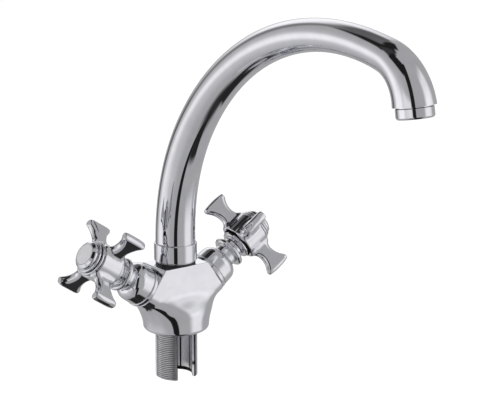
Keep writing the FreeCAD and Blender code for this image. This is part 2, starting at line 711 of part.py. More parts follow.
def make_valve_body(name, place):
    """Brass headwork: windowed sleeve round the discs, screw thread, hexagon and neck."""
    slim, sleeve = "sleeve_diameter / 2", "port_diameter / 2 - running_gap"
    bore, neck_bore = "sleeve_bore / 2", "spindle_diameter / 2 + running_gap"
    turned = turned_body(f"{name}_headwork", [
        (bore, SEAL_TOP), (slim, SEAL_TOP), (slim, f"{SEAL_TOP} + sleeve_length"),
        (sleeve, f"{SEAL_TOP} + sleeve_length"), (sleeve, HEX_TOP),
        ("valve_neck / 2", HEX_TOP), ("valve_neck / 2", NECK_TOP), (neck_bore, NECK_TOP),
        (neck_bore, f"{CARRIER_TOP} + face_gap"), (bore, f"{CARRIER_TOP} + face_gap")])
    hexagon = doc.addObject("Part::Prism", f"{name}_hexagon")
    bind(hexagon, "Circumradius", "valve_hex / 2 / cos( 30 )")
    bind(hexagon, "Height", "valve_hex_height")
    bind(hexagon, "Placement.Base.z", HEX_FOOT)
    through = cylinder(f"{name}_hex_bore", neck_bore, "valve_hex_height")
    bind(through, "Placement.Base.z", HEX_FOOT)
    window = cylinder(f"{name}_window", "window_diameter / 2", "2 * port_diameter",
                      Placement(Vector(), Rotation(Vector(0, 1, 0), 90)))
    bind(window, "Placement.Base.x", "-1 * port_diameter")
    bind(window, "Placement.Base.z", f"{FIXED_TOP} + disc_height / 2")
    solid = fused(f"{name}_valve", [turned, cut(f"{name}_hex", hexagon, [through])])
    name_node(cut(f"{name}_valve", solid, [window]), f"{name}_valve_body", place)


def make_valve_stem(name, place):
    """Stem with driver plate, sealing groove and splined end, tapped for the handle screw."""
    outer, groove = "spindle_diameter / 2", "spindle_groove / 2"
    half = "( spindle_o_ring_section / 2 + 0.15 )"
    tap = "screw_diameter / 2 + running_gap"
    bottom = f"{SPLINE_TOP} - screw_reach - 1"
    root = "spline_diameter / 2 - spline_depth"
    stem = turned_body(f"{name}_stem", [
        ("0", MOVING_TOP), ("disc_diameter / 2", MOVING_TOP), ("disc_diameter / 2", CARRIER_TOP),
        (outer, CARRIER_TOP), (outer, f"{HEX_TOP} - {half}"), (groove, f"{HEX_TOP} - {half}"),
        (groove, f"{HEX_TOP} + {half}"), (outer, f"{HEX_TOP} + {half}"), (outer, SPLINE_FOOT),
        (root, SPLINE_FOOT), (root, SPLINE_TOP), (tap, SPLINE_TOP), (tap, bottom), ("0", bottom)])
    name_node(fused(f"{name}_stem", [stem, spline_teeth(name)]), f"{name}_valve_stem", place)
    middle = "( spindle_groove + spindle_o_ring_section + running_gap )"
    ring = o_ring(f"{name}_stem_ring", "spindle_o_ring_section", middle)
    level = Placement(Vector(0, 0, number(HEX_TOP)), Rotation())
    name_node(ring, f"{name}_stem_o_ring", place.multiply(level))


def spline_teeth(name):
    """A ring of straight teeth round the upper end of the stem."""
    count = int(round(number("spline_teeth")))
    tip, root = number("spline_diameter / 2"), number("spline_diameter / 2 - spline_depth")
    foot, length = number(SPLINE_FOOT), number("spline_length")
    corners = []
    for index in range(2 * count):
        radius = tip if index % 2 == 0 else root + 0.05
        angle = math.pi * index / count
        corners.append(Vector(radius * math.cos(angle), radius * math.sin(angle), foot))
    face = Part.Face(Part.makePolygon(corners + corners[:1]))
    bore = Part.makeCylinder(number("screw_diameter / 2 + running_gap"), length, Vector(0, 0, foot))
    item = doc.addObject("Part::Feature", f"{name}_spline")
    item.Shape = face.extrude(Vector(0, 0, length)).cut(bore)
    return item


def make_valve(name, side):
    place = arm_placement(side)
    seal = ring_body(f"{name}_seal", "seal_diameter / 2", "seal_bore / 2", "port_seat", SEAL_TOP)
    name_node(seal, f"{name}_seat_seal", place)
    make_disc(f"{name}_fixed_disc", SEAL_TOP, place, 0)
    make_disc(f"{name}_moving_disc", FIXED_TOP, place, 90)
    make_valve_body(name, place)
    make_valve_stem(name, place)
    gasket = ring_body(f"{name}_gasket", "valve_gasket_diameter / 2",
                       "port_diameter / 2 + running_gap", "arm_reach", HEX_FOOT)
    name_node(gasket, f"{name}_valve_gasket", place)


# ---------------------------------------------------------------- shroud and handle

BELL_TOP = "arm_reach + bell_height"
BEAD_FOOT = f"{BELL_TOP} + neck_length"
BEAD_TOP = f"{BEAD_FOOT} + bead_height"
SHROUD_TOP = f"{BEAD_TOP} + throat_length"
HANDLE_FOOT = f"{SHROUD_TOP} + handle_gap"
CUFF_FOOT = f"{HANDLE_FOOT} + cuff_start"
CUFF_TOP = f"{CUFF_FOOT} + cuff_height"
RINGS_FOOT = f"{CUFF_TOP} + hub_length"
HANDLE_TOP = f"{RINGS_FOOT} + lower_ring_height + upper_ring_height + 2 * ring_groove"
SHROUD_BORE = "valve_neck / 2 + running_gap"


def make_shroud(name, side):
    """The chromed bell over a valve, ending in a turned bead."""
    foot, ring_top = "arm_reach", "arm_reach + flange_height"
    flange, bell, brow = "flange_diameter / 2", "bell_foot / 2", "bell_brow / 2"
    neck, bead, throat = "neck_diameter / 2", "bead_diameter / 2", "throat_diameter / 2"
    hollow, ceiling = "bell_bore / 2", "arm_reach + bell_bore_depth"
    shroud = turned_body(f"{name}_shroud", [
        (hollow, foot), (flange, foot), (flange, ring_top),
        (f"{bell} - 0.5", ring_top), (f"{bell} - 0.5", f"{ring_top} + 0.5"),
        (bell, f"{ring_top} + 0.5"), (brow, BELL_TOP), (neck, BELL_TOP), (neck, BEAD_FOOT),
        (bead, BEAD_FOOT), (bead, BEAD_TOP), (throat, BEAD_TOP), (throat, SHROUD_TOP),
        (SHROUD_BORE, SHROUD_TOP), (SHROUD_BORE, ceiling), (hollow, ceiling)])
    round_rims(shroud, "bead_height * 0.46", [(bead, BEAD_FOOT), (bead, BEAD_TOP)])
    round_rims(shroud, "bell_rounding", [(brow, BELL_TOP)])
    round_rims(shroud, "flange_height / 4", [(flange, foot), (flange, ring_top)])
    name_node(shroud, f"{name}_shroud", arm_placement(side))


def hub_section():
    """Half section of a handle's hub, with its cuff, rings, spline socket and screw well."""
    cuff, hub, foot = "cuff_diameter / 2", "hub_diameter / 2", "handle_foot / 2"
    socket, hole = "spline_diameter / 2 + running_gap", "screw_diameter / 2 + screw_clearance"
    corners = [(socket, HANDLE_FOOT), (foot, HANDLE_FOOT), (foot, CUFF_FOOT), (cuff, CUFF_FOOT),
               (cuff, CUFF_TOP), (hub, CUFF_TOP), (hub, RINGS_FOOT)]
    level = RINGS_FOOT
    for ring in ("lower_ring", "upper_ring"):
        top = f"{level} + ring_groove + {ring}_height"
        corners.append((f"{ring} / 2 - ring_groove_depth", level))
        corners.append((f"{ring} / 2 - ring_groove_depth", f"{level} + ring_groove"))
        corners.append((f"{ring} / 2", f"{level} + ring_groove"))
        corners.append((f"{ring} / 2", top))
        level = top
    well_floor = f"{HANDLE_TOP} - well_depth"
    corners += [("well_diameter / 2", HANDLE_TOP), ("well_diameter / 2", well_floor),
                (hole, well_floor), (hole, f"{SPLINE_TOP} + face_gap"),
                (socket, f"{SPLINE_TOP} + face_gap")]
    return corners


def blade_shape():
    """One blade: a plate in the plane of the axis with hollow sides and a broad end."""
    middle, reach = number(f"{HANDLE_FOOT} + blade_middle"), number("blade_radius")
    root_x = number("hub_diameter / 2 - blade_root_depth")
    root = number("blade_root_width / 2")
    waist, tip = number("blade_waist_width / 2"), number("blade_tip_width / 2")
    band_x = reach - number("blade_tip_band")
    waist_x = (root_x + band_x) / 2
    near, far = Vector(root_x, 0, middle - root), Vector(root_x, 0, middle + root)
    near_end, far_end = Vector(band_x, 0, middle - tip), Vector(band_x, 0, middle + tip)
    near_tip, far_tip = Vector(reach, 0, middle - tip), Vector(reach, 0, middle + tip)
    sides = [Part.Arc(near, Vector(waist_x, 0, middle - waist), near_end).toShape(),
             Part.makeLine(near_end, near_tip), Part.makeLine(near_tip, far_tip),
             Part.makeLine(far_tip, far_end),
             Part.Arc(far_end, Vector(waist_x, 0, middle + waist), far).toShape(),
             Part.makeLine(far, near)]
    half = number("blade_thickness / 2")
    face = Part.Face(Part.Wire(sides))
    face.translate(Vector(0, -half, 0))
    plate = face.extrude(Vector(0, 2 * half, 0))
    corner = [edge for edge in plate.Edges if edge.CenterOfMass.x > reach - 1e-6
              and abs(edge.CenterOfMass.y) < 1e-6 and len(edge.Vertexes) == 2
              and abs(abs(edge.CenterOfMass.z - middle) - tip) < 1e-6]
    plate = plate.makeFillet(number("blade_corner"), corner)
    rounded = [edge for edge in plate.Edges if abs(abs(edge.CenterOfMass.y) - half) < 1e-6
               and edge.CenterOfMass.x > root_x + 1e-3]
    return plate.makeFillet(number("blade_rounding"), rounded)


def make_handle(name, side, turn):
    """Hub and four blades, one casting, with the bores cleared after they are joined."""
    hub = turned_body(f"{name}_hub", hub_section())
    cuff = "cuff_diameter / 2"
    round_rims(hub, "cuff_height * 0.43", [(cuff, CUFF_FOOT)])
    round_rims(hub, "hub_rounding", [("hub_diameter / 2", CUFF_TOP), ("hub_diameter / 2", RINGS_FOOT)])
    blades = doc.addObject("Part::Feature", f"{name}_blades")
    plate = blade_shape()
    turns = [Rotation(Vector(0, 0, 1), 90 * index) for index in range(4)]
    copies = [plate.transformed(Placement(Vector(), spin).toMatrix()) for spin in turns]
    blades.Shape = Part.makeCompound(copies)
    solid = fused(f"{name}_handle", [hub, blades])
    name_node(solid, f"{name}_handle", arm_placement(side, turn))


def make_screw(name, place):
    """Cheese-head screw from the well into the end of the valve stem."""
    floor = f"{HANDLE_TOP} - well_depth"
    shank = "screw_diameter / 2"
    bottom = f"{SPLINE_TOP} - screw_reach"
    head = f"{floor} + screw_head_height"
    turned = turned_body(f"{name}_screw", [
        ("0", bottom), (shank, bottom), (shank, floor), ("screw_head / 2", floor),
        ("screw_head / 2", head), ("0", head)])
    slot = doc.addObject("Part::Box", f"{name}_screw_slot")
    bind(slot, "Length", "screw_head + 2")
    bind(slot, "Width", "screw_head / 6")
    bind(slot, "Height", "screw_head_height")
    bind(slot, "Placement.Base.x", "-1 * screw_head / 2 - 1")
    bind(slot, "Placement.Base.y", "-1 * screw_head / 12")
    bind(slot, "Placement.Base.z", f"{floor} + screw_head_height / 2")
    name_node(cut(f"{name}_screw", turned, [slot]), f"{name}_handle_screw", place)


def make_cap(name, place):
    """Press-in index cap with a bevelled rim and an inlaid plain face."""
    plug, rim = "well_diameter / 2 - running_gap", "cap_diameter / 2"
    foot = f"{rim} - ring_groove_depth"
    head = f"{HANDLE_TOP} + cap_height"
    inner = "well_diameter / 2 - cap_plug_wall"
    low = f"{HANDLE_TOP} - cap_plug_length"
    face = "cap_face / 2"
    cap = turned_body(f"{name}_cap", [
        (inner, low), (plug, low), (plug, HANDLE_TOP), (foot, HANDLE_TOP),
        (foot, f"{HANDLE_TOP} + ring_groove"), (rim, f"{HANDLE_TOP} + ring_groove"),
        (rim, f"{head} - cap_bevel"), (f"{face} + cap_rim", head), (face, head),
        (face, f"{head} - cap_face_depth"), ("0", f"{head} - cap_face_depth"),
        ("0", f"{head} - cap_height / 2"), (inner, f"{head} - cap_height / 2")])
    name_node(cap, f"{name}_index_cap", place)
    inlay = ring_body(f"{name}_inlay", f"{face} - running_gap", "0",
                      f"{head} - cap_face_depth", head)
    name_node(inlay, f"{name}_cap_face", place)


def make_controls():
    for name, side in SIDES:
        make_valve(name, side)
        make_shroud(name, side)
        turn = number(f"{name}_turn")
        make_handle(name, side, turn)
        make_screw(name, arm_placement(side))
        make_cap(name, arm_placement(side))


# ---------------------------------------------------------------- checks and export

def check(item):
    """Stop on a failed object or a shape that isn't sound."""
    for feature in doc.Objects:
        if "Invalid" in feature.State or "Error" in feature.State:
            raise RuntimeError(f"{feature.Name} failed to recompute")
    if item.Shape.isNull() or not item.Shape.isValid() or not item.Shape.Solids:
        raise RuntimeError(f"{item.Label} has no sound solid")


def main():
    make_casting()
    make_shank()
    make_base_seal()
    make_slide_ring()
    make_lock_screw()
    make_collar()
    make_stem()
    make_tube()
    make_aerator()
    make_controls()
    doc.recompute()
    for item in nodes:
        check(item)
    os.makedirs("parts", exist_ok=True)
    for item in nodes:
        item.Shape.exportStep(f"parts/{item.Label}.step")
        print(f"{item.Label:24s} solids {len(item.Shape.Solids)} volume {item.Shape.Volume:10.1f}")


main()
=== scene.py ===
"""Looks of a deck-mounted kitchen mixer.

A chromed Y-shaped casting stands on a slotted, threaded shank. It carries a tall swan-neck spout
with an aerator, and two cross handles on bell-shaped shrouds. Shapes are modelled in millimetres
in the frame of the CAD part and turned into metres when a mesh is made.
"""

import logging
import math
from dataclasses import dataclass
from enum import Enum
from typing import Callable, Optional, Sequence

import bpy
import numpy as np
from mathutils import Matrix, Vector


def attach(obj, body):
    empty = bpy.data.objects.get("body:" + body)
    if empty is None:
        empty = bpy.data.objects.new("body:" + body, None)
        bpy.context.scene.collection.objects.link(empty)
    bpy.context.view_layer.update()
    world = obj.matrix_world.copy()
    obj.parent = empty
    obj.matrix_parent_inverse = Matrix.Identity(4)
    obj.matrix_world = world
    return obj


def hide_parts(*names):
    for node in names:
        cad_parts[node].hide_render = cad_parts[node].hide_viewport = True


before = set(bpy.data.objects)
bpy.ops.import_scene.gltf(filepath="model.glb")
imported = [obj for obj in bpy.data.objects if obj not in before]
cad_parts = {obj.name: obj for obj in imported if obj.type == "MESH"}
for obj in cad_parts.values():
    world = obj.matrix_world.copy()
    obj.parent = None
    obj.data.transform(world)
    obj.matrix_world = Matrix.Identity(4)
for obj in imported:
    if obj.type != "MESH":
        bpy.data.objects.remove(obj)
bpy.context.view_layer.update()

log = logging.getLogger("mixer")
Array = np.ndarray
Field = Callable[[Array], Array]
Corner = tuple[float, float, float]
Tree = bpy.types.NodeTree
Socket = bpy.types.NodeSocket

MM = 0.001
WELD_DIGITS = 4
ARC_STEP = 0.16
OPEN_END = 200.0
ARM_DEGREES = 34.0
ARM_HEIGHT = 17.6


# ---------------------------------------------------------------- small tools for shapes


def rounded_cross(first: Array, second: Array, radius: float) -> Array:
    """Distance to what two solids share, its edge rounded; negative is inside."""
    over = np.hypot(np.maximum(first + radius, 0), np.maximum(second + radius, 0)) - radius
    return over + np.minimum(np.maximum(first, second) + radius, 0)


def filleted_join(first: Array, second: Array, radius: float) -> Array:
    """Distance to two solids joined with a hollow fillet between them."""
    return -rounded_cross(-first, -second, radius)


def bored(solid: Array, wall: Array, along: Array, start: float = -OPEN_END,
          end: float = OPEN_END) -> Array:
    """Distance to a solid with a round hole in it.

    Args:
        solid: distances to the solid.
        wall: distances to the hole's wall, negative inside the hole.
        along: places along the hole's axis.
        start: place where the hole starts, if it doesn't run out of the solid.
        end: place where it ends, likewise.

    Returns:
        The combined distances, with the hole's edges broken.
    """
    broken_edge = 0.3
    hole = np.maximum(np.maximum(wall, start - along), along - end)
    return rounded_cross(solid, -hole, broken_edge)


def full_circle(steps: int) -> Array:
    """Angles of even steps round a circle."""
    return np.arange(steps) * 2 * math.pi / steps


@dataclass
class Placement:
    """A rotation and an origin, in millimetres."""

    turn: Array
    origin: Array

    def points(self, local: Array) -> Array:
        """Local points in the object's frame."""
        return local @ self.turn.T + self.origin

    def ways(self, local: Array) -> Array:
        """Local directions in the object's frame."""
        return local @ self.turn.T


HERE = Placement(np.eye(3), np.zeros(3))


def linked(name: str, data: bpy.types.ID) -> bpy.types.Object:
    """Make an object in the scene.

    Args:
        name: its name.
        data: its mesh or camera.

    Returns:
        The object.
    """
    made = bpy.data.objects.new(name, data)
    bpy.context.scene.collection.objects.link(made)
    return made


class Skin:
    """Collects patches of surface in millimetres and makes one smooth mesh of them."""

    def __init__(self) -> None:
        """Start with no patches."""
        self.spots: list[Array] = []
        self.quads: list[Array] = []
        self.facing: list[Array] = []
        self.count = 0

    def patch(self, spots: Array, quads: Array, facing: Array) -> None:
        """Add four-cornered faces.

        Args:
            spots: points, one row each.
            quads: four point numbers a face.
            facing: the way the surface faces at each point.
        """
        self.spots.append(spots)
        self.quads.append(quads + self.count)
        self.facing.append(facing[quads])
        self.count += len(spots)

    def grid(self, spots: Array, facing: Array, closed: bool = True) -> None:
        """Add a grid of points as a patch.

        Args:
            spots: rows by columns by three.
            facing: the way the surface faces at each of them.
            closed: whether the last column meets the first.
        """
        rows, columns = spots.shape[:2]
        names = np.arange(rows * columns).reshape(rows, columns)
        if closed:
            names = np.concatenate([names, names[:, :1]], 1)
        quads = np.stack([names[:-1, :-1], names[:-1, 1:], names[1:, 1:], names[1:, :-1]], -1)
        self.patch(spots.reshape(-1, 3), quads.reshape(-1, 4), facing.reshape(-1, 3))

    def made(self, name: str, place: Placement = HERE) -> bpy.types.Object:
        """Weld the patches and make the mesh.

        Args:
            name: name of the piece.
            place: where its local frame lies.

        Returns:
            The new object, at the origin, with its place in its mesh.
        """
        spots = np.concatenate(self.spots)
        quads, facing = np.concatenate(self.quads), np.concatenate(self.facing)
        _, first, same = np.unique(np.round(spots, WELD_DIGITS), axis=0, return_index=True,
                                   return_inverse=True)
        spots, quads = spots[first], same.reshape(-1)[quads]
        keep = quads != np.roll(quads, 1, axis=1)
        whole = keep.sum(1) >= 3
        quads, facing, keep = quads[whole], facing[whole], keep[whole]
        sizes = keep.sum(1)
        mesh = bpy.data.meshes.new(name)
        mesh.vertices.add(len(spots))
        mesh.vertices.foreach_set("co", (place.points(spots) * MM).astype(np.float32).ravel())
        mesh.loops.add(int(sizes.sum()))
        mesh.loops.foreach_set("vertex_index", quads[keep].astype(np.int32))
        mesh.polygons.add(len(sizes))
        mesh.polygons.foreach_set("loop_start", (np.cumsum(sizes) - sizes).astype(np.int32))
        mesh.polygons.foreach_set("use_smooth", np.ones(len(sizes), bool))
        mesh.update(calc_edges=True)
        ways = place.ways(facing[keep])
        ways /= np.linalg.norm(ways, axis=1, keepdims=True)
        mesh.normals_split_custom_set(ways.tolist())
        return linked(name, mesh)


def moulded(skin: Skin, field: Field, low: Sequence[float], high: Sequence[float],
            step: float) -> None:
    """Add the surface of a distance field to a skin.

    Args:
        skin: what the faces are added to.
        field: distances at points, negative inside.
        low: lowest corner of the box that is searched.
        high: its highest corner.
        step: size of a face.
    """
    axes = [np.arange(a, b + step, step) for a, b in zip(low, high)]
    inside = np.stack([field(np.stack(np.meshgrid([x], axes[1], axes[2], indexing="ij"), -1)
                             .reshape(-1, 3)).reshape(len(axes[1]), len(axes[2])) < 0
                       for x in axes[0]])
    number = np.full([n - 1 for n in inside.shape], -1)
    corners = sum(inside[i:i + number.shape[0], j:j + number.shape[1], k:k + number.shape[2]]
                  .astype(np.int8) for i in (0, 1) for j in (0, 1) for k in (0, 1))
    cells = np.argwhere((corners > 0) & (corners < 8))
    number[tuple(cells.T)] = np.arange(len(cells))
    spots = np.array(low) + (cells + 0.5) * step
    settling_steps, least_slope = 5, 0.25
    for _ in range(settling_steps):
        slope = field_slope(field, spots)
        size = np.maximum((slope ** 2).sum(1), least_slope)
        spots = spots - slope * (field(spots) / size)[:, None]
    quads = []
    for axis in range(3):
        near, far = [slice(1, -1)] * 3, [slice(1, -1)] * 3
        near[axis], far[axis] = slice(None, -1), slice(1, None)
        before, after = inside[tuple(near)], inside[tuple(far)]
        edges = np.argwhere(before != after)
        outward = before[tuple(edges.T)]
        edges = edges + 1
        edges[:, axis] -= 1
        across, along = (axis + 1) % 3, (axis + 2) % 3
        ring = []
        for left, down in ((1, 1), (0, 1), (0, 0), (1, 0)):
            cell = edges.copy()
            cell[:, across] -= left
            cell[:, along] -= down
            ring.append(number[tuple(cell.T)])
        ring = np.stack(ring, 1)
        quads.append(np.where(outward[:, None], ring, ring[:, ::-1]))
    slope = field_slope(field, spots)
    slope /= np.maximum(np.linalg.norm(slope, axis=1, keepdims=True), 1e-9)
    skin.patch(spots, np.concatenate(quads), slope)


def field_slope(field: Field, spots: Array) -> Array:
    """The direction in which a distance field grows fastest.

    Args:
        field: distances at points.
        spots: points in millimetres.

    Returns:
        One slope for each of them.
    """
    reach = 0.02
    parts = []
    for axis in range(3):
        aside = np.zeros(3)
        aside[axis] = reach
        parts.append((field(spots + aside) - field(spots - aside)) / (2 * reach))
    return np.stack(parts, 1)


def profile_runs(corners: Sequence[Corner], closed: bool) -> list[tuple[Array, Array]]:
    """Straight and round runs of a half section.

    Args:
        corners: (radius, height, rounding) in order, with the solid on the left.
        closed: whether the last corner joins the first.

    Returns:
        For each run its points and the way the surface faces there, in (radius, height).
    """
    spots = [np.array(corner[:2], float) for corner in corners]
    count = len(spots)
    entry, leave, bends = list(spots), list(spots), {}
    for index in range(count if closed else count - 2):
        here = index if closed else index + 1
        radius = corners[here][2]
        if radius <= 0:
            continue
        into = spots[here] - spots[here - 1]
        out = spots[(here + 1) % count] - spots[here]
        into, out = into / np.linalg.norm(into), out / np.linalg.norm(out)
        bend = math.atan2(into[0] * out[1] - into[1] * out[0], into @ out)
        reach = radius * math.tan(abs(bend) / 2)
        entry[here], leave[here] = spots[here] - into * reach, spots[here] + out * reach
        bends[here] = (into, bend, radius)
    runs = []
    for here in range(count):
        if here in bends:
            into, bend, radius = bends[here]
            side = math.copysign(1, bend)
            centre = entry[here] + side * radius * np.array([-into[1], into[0]])
            angles = np.linspace(0, bend, max(3, int(abs(bend) / ARC_STEP) + 1))
            cosine, sine = np.cos(angles), np.sin(angles)
            arm = entry[here] - centre
            arc = centre + np.stack([cosine * arm[0] - sine * arm[1],
                                     sine * arm[0] + cosine * arm[1]], 1)
            ahead = np.stack([cosine * into[0] - sine * into[1],
                              sine * into[0] + cosine * into[1]], 1)
            runs.append((arc, np.stack([ahead[:, 1], -ahead[:, 0]], 1)))
        if here + 1 < count or closed:
            start, end = leave[here], entry[(here + 1) % count]
            ahead = end - start
            if np.linalg.norm(ahead) > 1e-6:
                ahead = ahead / np.linalg.norm(ahead)
                way = np.array([ahead[1], -ahead[0]])
                runs.append((np.stack([start, end]), np.stack([way, way])))
    return runs


def turned(skin: Skin, corners: Sequence[Corner], closed: bool = True, steps: int = 128) -> None:
    """Add a surface turned about Z.

    Args:
        skin: what the faces are added to.
        corners: (radius, height, rounding) of the half section, the solid on the left.
        closed: whether the last corner joins the first.
        steps: faces round the axis.
    """
    around = full_circle(steps)[None]
    cosine, sine = np.cos(around), np.sin(around)
    for spots, ways in profile_runs(corners, closed):
        radius, height = spots[:, :1], spots[:, 1:]
        rows = np.stack([radius * cosine, radius * sine, height + 0 * cosine], -1)
        out, up = ways[:, :1], ways[:, 1:]
        skin.grid(rows, np.stack([out * cosine, out * sine, up + 0 * cosine], -1))


def eased(marks: Sequence[tuple[float, float]], places: Array) -> Array:
    """A smooth curve through marks that never overshoots them.

    Args:
        marks: (place, value) pairs in order.
        places: where the curve is wanted.

    Returns:
        Its values there.
    """
    x, y = np.array(marks, float).T
    rise = np.diff(y) / np.diff(x)
    lean = np.zeros(len(x))
    both = rise[:-1] * rise[1:] > 0
    lean[1:-1][both] = (2 * rise[:-1] * rise[1:] / (rise[:-1] + rise[1:] + 1e-12))[both]
    lean[0], lean[-1] = rise[0], rise[-1]
    at = np.clip(np.searchsorted(x, places) - 1, 0, len(x) - 2)
    width = x[at + 1] - x[at]
    part = (places - x[at]) / width
    return (y[at] * (1 + 2 * part) * (1 - part) ** 2 + lean[at] * width * part * (1 - part) ** 2
            + y[at + 1] * part ** 2 * (3 - 2 * part)
            + lean[at + 1] * width * part ** 2 * (part - 1))


# ---------------------------------------------------------------- finishes


def linear(colour: str) -> tuple[float, float, float, float]:
    """Turn an sRGB colour into linear light.

    Args:
        colour: the colour as a hash and six hex digits.

    Returns:
        Red, green and blue light, and full alpha.
    """
    parts = [int(colour[i:i + 2], 16) / 255 for i in (1, 3, 5)]
    light = [p / 12.92 if p <= 0.04045 else ((p + 0.055) / 1.055) ** 2.4 for p in parts]
    return (light[0], light[1], light[2], 1.0)


def add(tree: Tree, kind: str, settings: Optional[dict] = None,
        **inputs: object) -> bpy.types.Node:
    """Add a node with its settings, values and links.

    Args:
        tree: the node tree.
        kind: type name of the node, without ShaderNode in front.
        settings: properties of the node itself.
        **inputs: a value or an output socket for each input, named as the socket with
            underscores for spaces, or i0, i1 and so on by number.

    Returns:
        The new node.
    """
    node = tree.nodes.new(f"ShaderNode{kind}")
    for key, value in (settings or {}).items():
        setattr(node, key, value)
    for key, value in inputs.items():
        by_number = key[0] == "i" and key[1:].isdigit()
        socket = node.inputs[int(key[1:])] if by_number else node.inputs[key.replace("_", " ")]
        if isinstance(value, Socket):
            tree.links.new(value, socket)
        else:
            socket.default_value = value
    return node


def reckoned(tree: Tree, operation: str, *values: object) -> Socket:
    """The result of one operation on numbers or sockets."""
    inputs = {f"i{number}": value for number, value in enumerate(values)}
    return add(tree, "Math", {"operation": operation}, **inputs).outputs[0]


def ramped(tree: Tree, value: Socket, start: float, end: float, **settings: float) -> Socket:
    """A share that grows from nought to one, or as set, while a value goes from start to end."""
    return add(tree, "MapRange", Value=value, From_Min=start, From_Max=end,
               **settings).outputs[0]


def laid(tree: Tree, share: Socket, under: object, over: object) -> Socket:
    """One colour laid over another by a share."""
    return add(tree, "Mix", {"data_type": "RGBA"}, i0=share, i6=under,
               i7=over).outputs[2]


def emptied(owner: bpy.types.Material | bpy.types.World) -> Tree:
    """Clear the nodes of a new material or world.

    Args:
        owner: the material or world.

    Returns:
        Its node tree, with nothing in it.
    """
    owner.use_nodes = True
    owner.node_tree.nodes.clear()
    return owner.node_tree


def even(light: float) -> tuple[float, float, float, float]:
    """A colour without a hue, of this much light."""
    return (light, light, light, 1.0)


WHITE = even(1.0)
# What all finishes share: the size of the broad marks of handling, the parts of their noise over
# which the colour and the roughness change, and how fine relief is squeezed along a lathe's axis.
MARKS_MM = 14.0
TINT_CHANGE = (0.35, 0.7)
ROUGH_CHANGE = (0.3, 0.75)
LEAST_ROUGHNESS = 0.01
RELIEF_STRENGTH = 0.5
LATHE_SCALE = (1, 1, 6)


class Pattern(Enum):
    """How a surface was made, and so how its fine relief runs."""

    POLISHED = "polished"
    TURNED = "turned"
    MOULDED = "moulded"
    LAPPED = "lapped"


@dataclass(frozen=True)
class Finish:
    """A finish: what it is made of, its colour and the marks of its making."""

    name: str
    colour: str
    shade: str
    metallic: float
    roughness: float
    spread: float
    grain_mm: float
    relief_mm: float
    pattern: Pattern

    def material(self) -> bpy.types.Material:
        """Make the material once, and then share it.

        Returns:
            The finish as a material.
        """
        made = bpy.data.materials.get(self.name)
        if made is not None:
            return made
        made = bpy.data.materials.new(self.name)
        tree = emptied(made)
        place = add(tree, "TexCoord").outputs["Object"]
        if self.pattern is Pattern.TURNED:
            place = add(tree, "Mapping", Vector=place, Scale=LATHE_SCALE).outputs[0]
        grain = add(tree, "TexNoise", Vector=place, Scale=1 / (self.grain_mm * MM),
                    Detail=3.0, Roughness=0.55).outputs[0]
        marks = add(tree, "TexNoise", Vector=place, Scale=1 / (MARKS_MM * MM),
                    Detail=4.0, Roughness=0.6).outputs[0]
        tint = laid(tree, ramped(tree, marks, *TINT_CHANGE), linear(self.colour),
                    linear(self.shade))
        rough = ramped(tree, marks, *ROUGH_CHANGE,
                       To_Min=max(self.roughness - self.spread, LEAST_ROUGHNESS),
                       To_Max=self.roughness + self.spread)
        relief = add(tree, "Bump", Strength=RELIEF_STRENGTH,
                     Distance=self.relief_mm * MM, Height=grain).outputs[0]
        tint, rough = self.marked(tree, tint, rough)
        shader = add(tree, "BsdfPrincipled", Base_Color=tint, Roughness=rough,
                     Metallic=self.metallic, Normal=relief)
        add(tree, "OutputMaterial", Surface=shader.outputs[0])
        return made

    def marked(self, tree: Tree, tint: Socket, rough: Socket) -> tuple[Socket, Socket]:
        """Colour and roughness with the marks of the piece's own making: none here."""
        return tint, rough


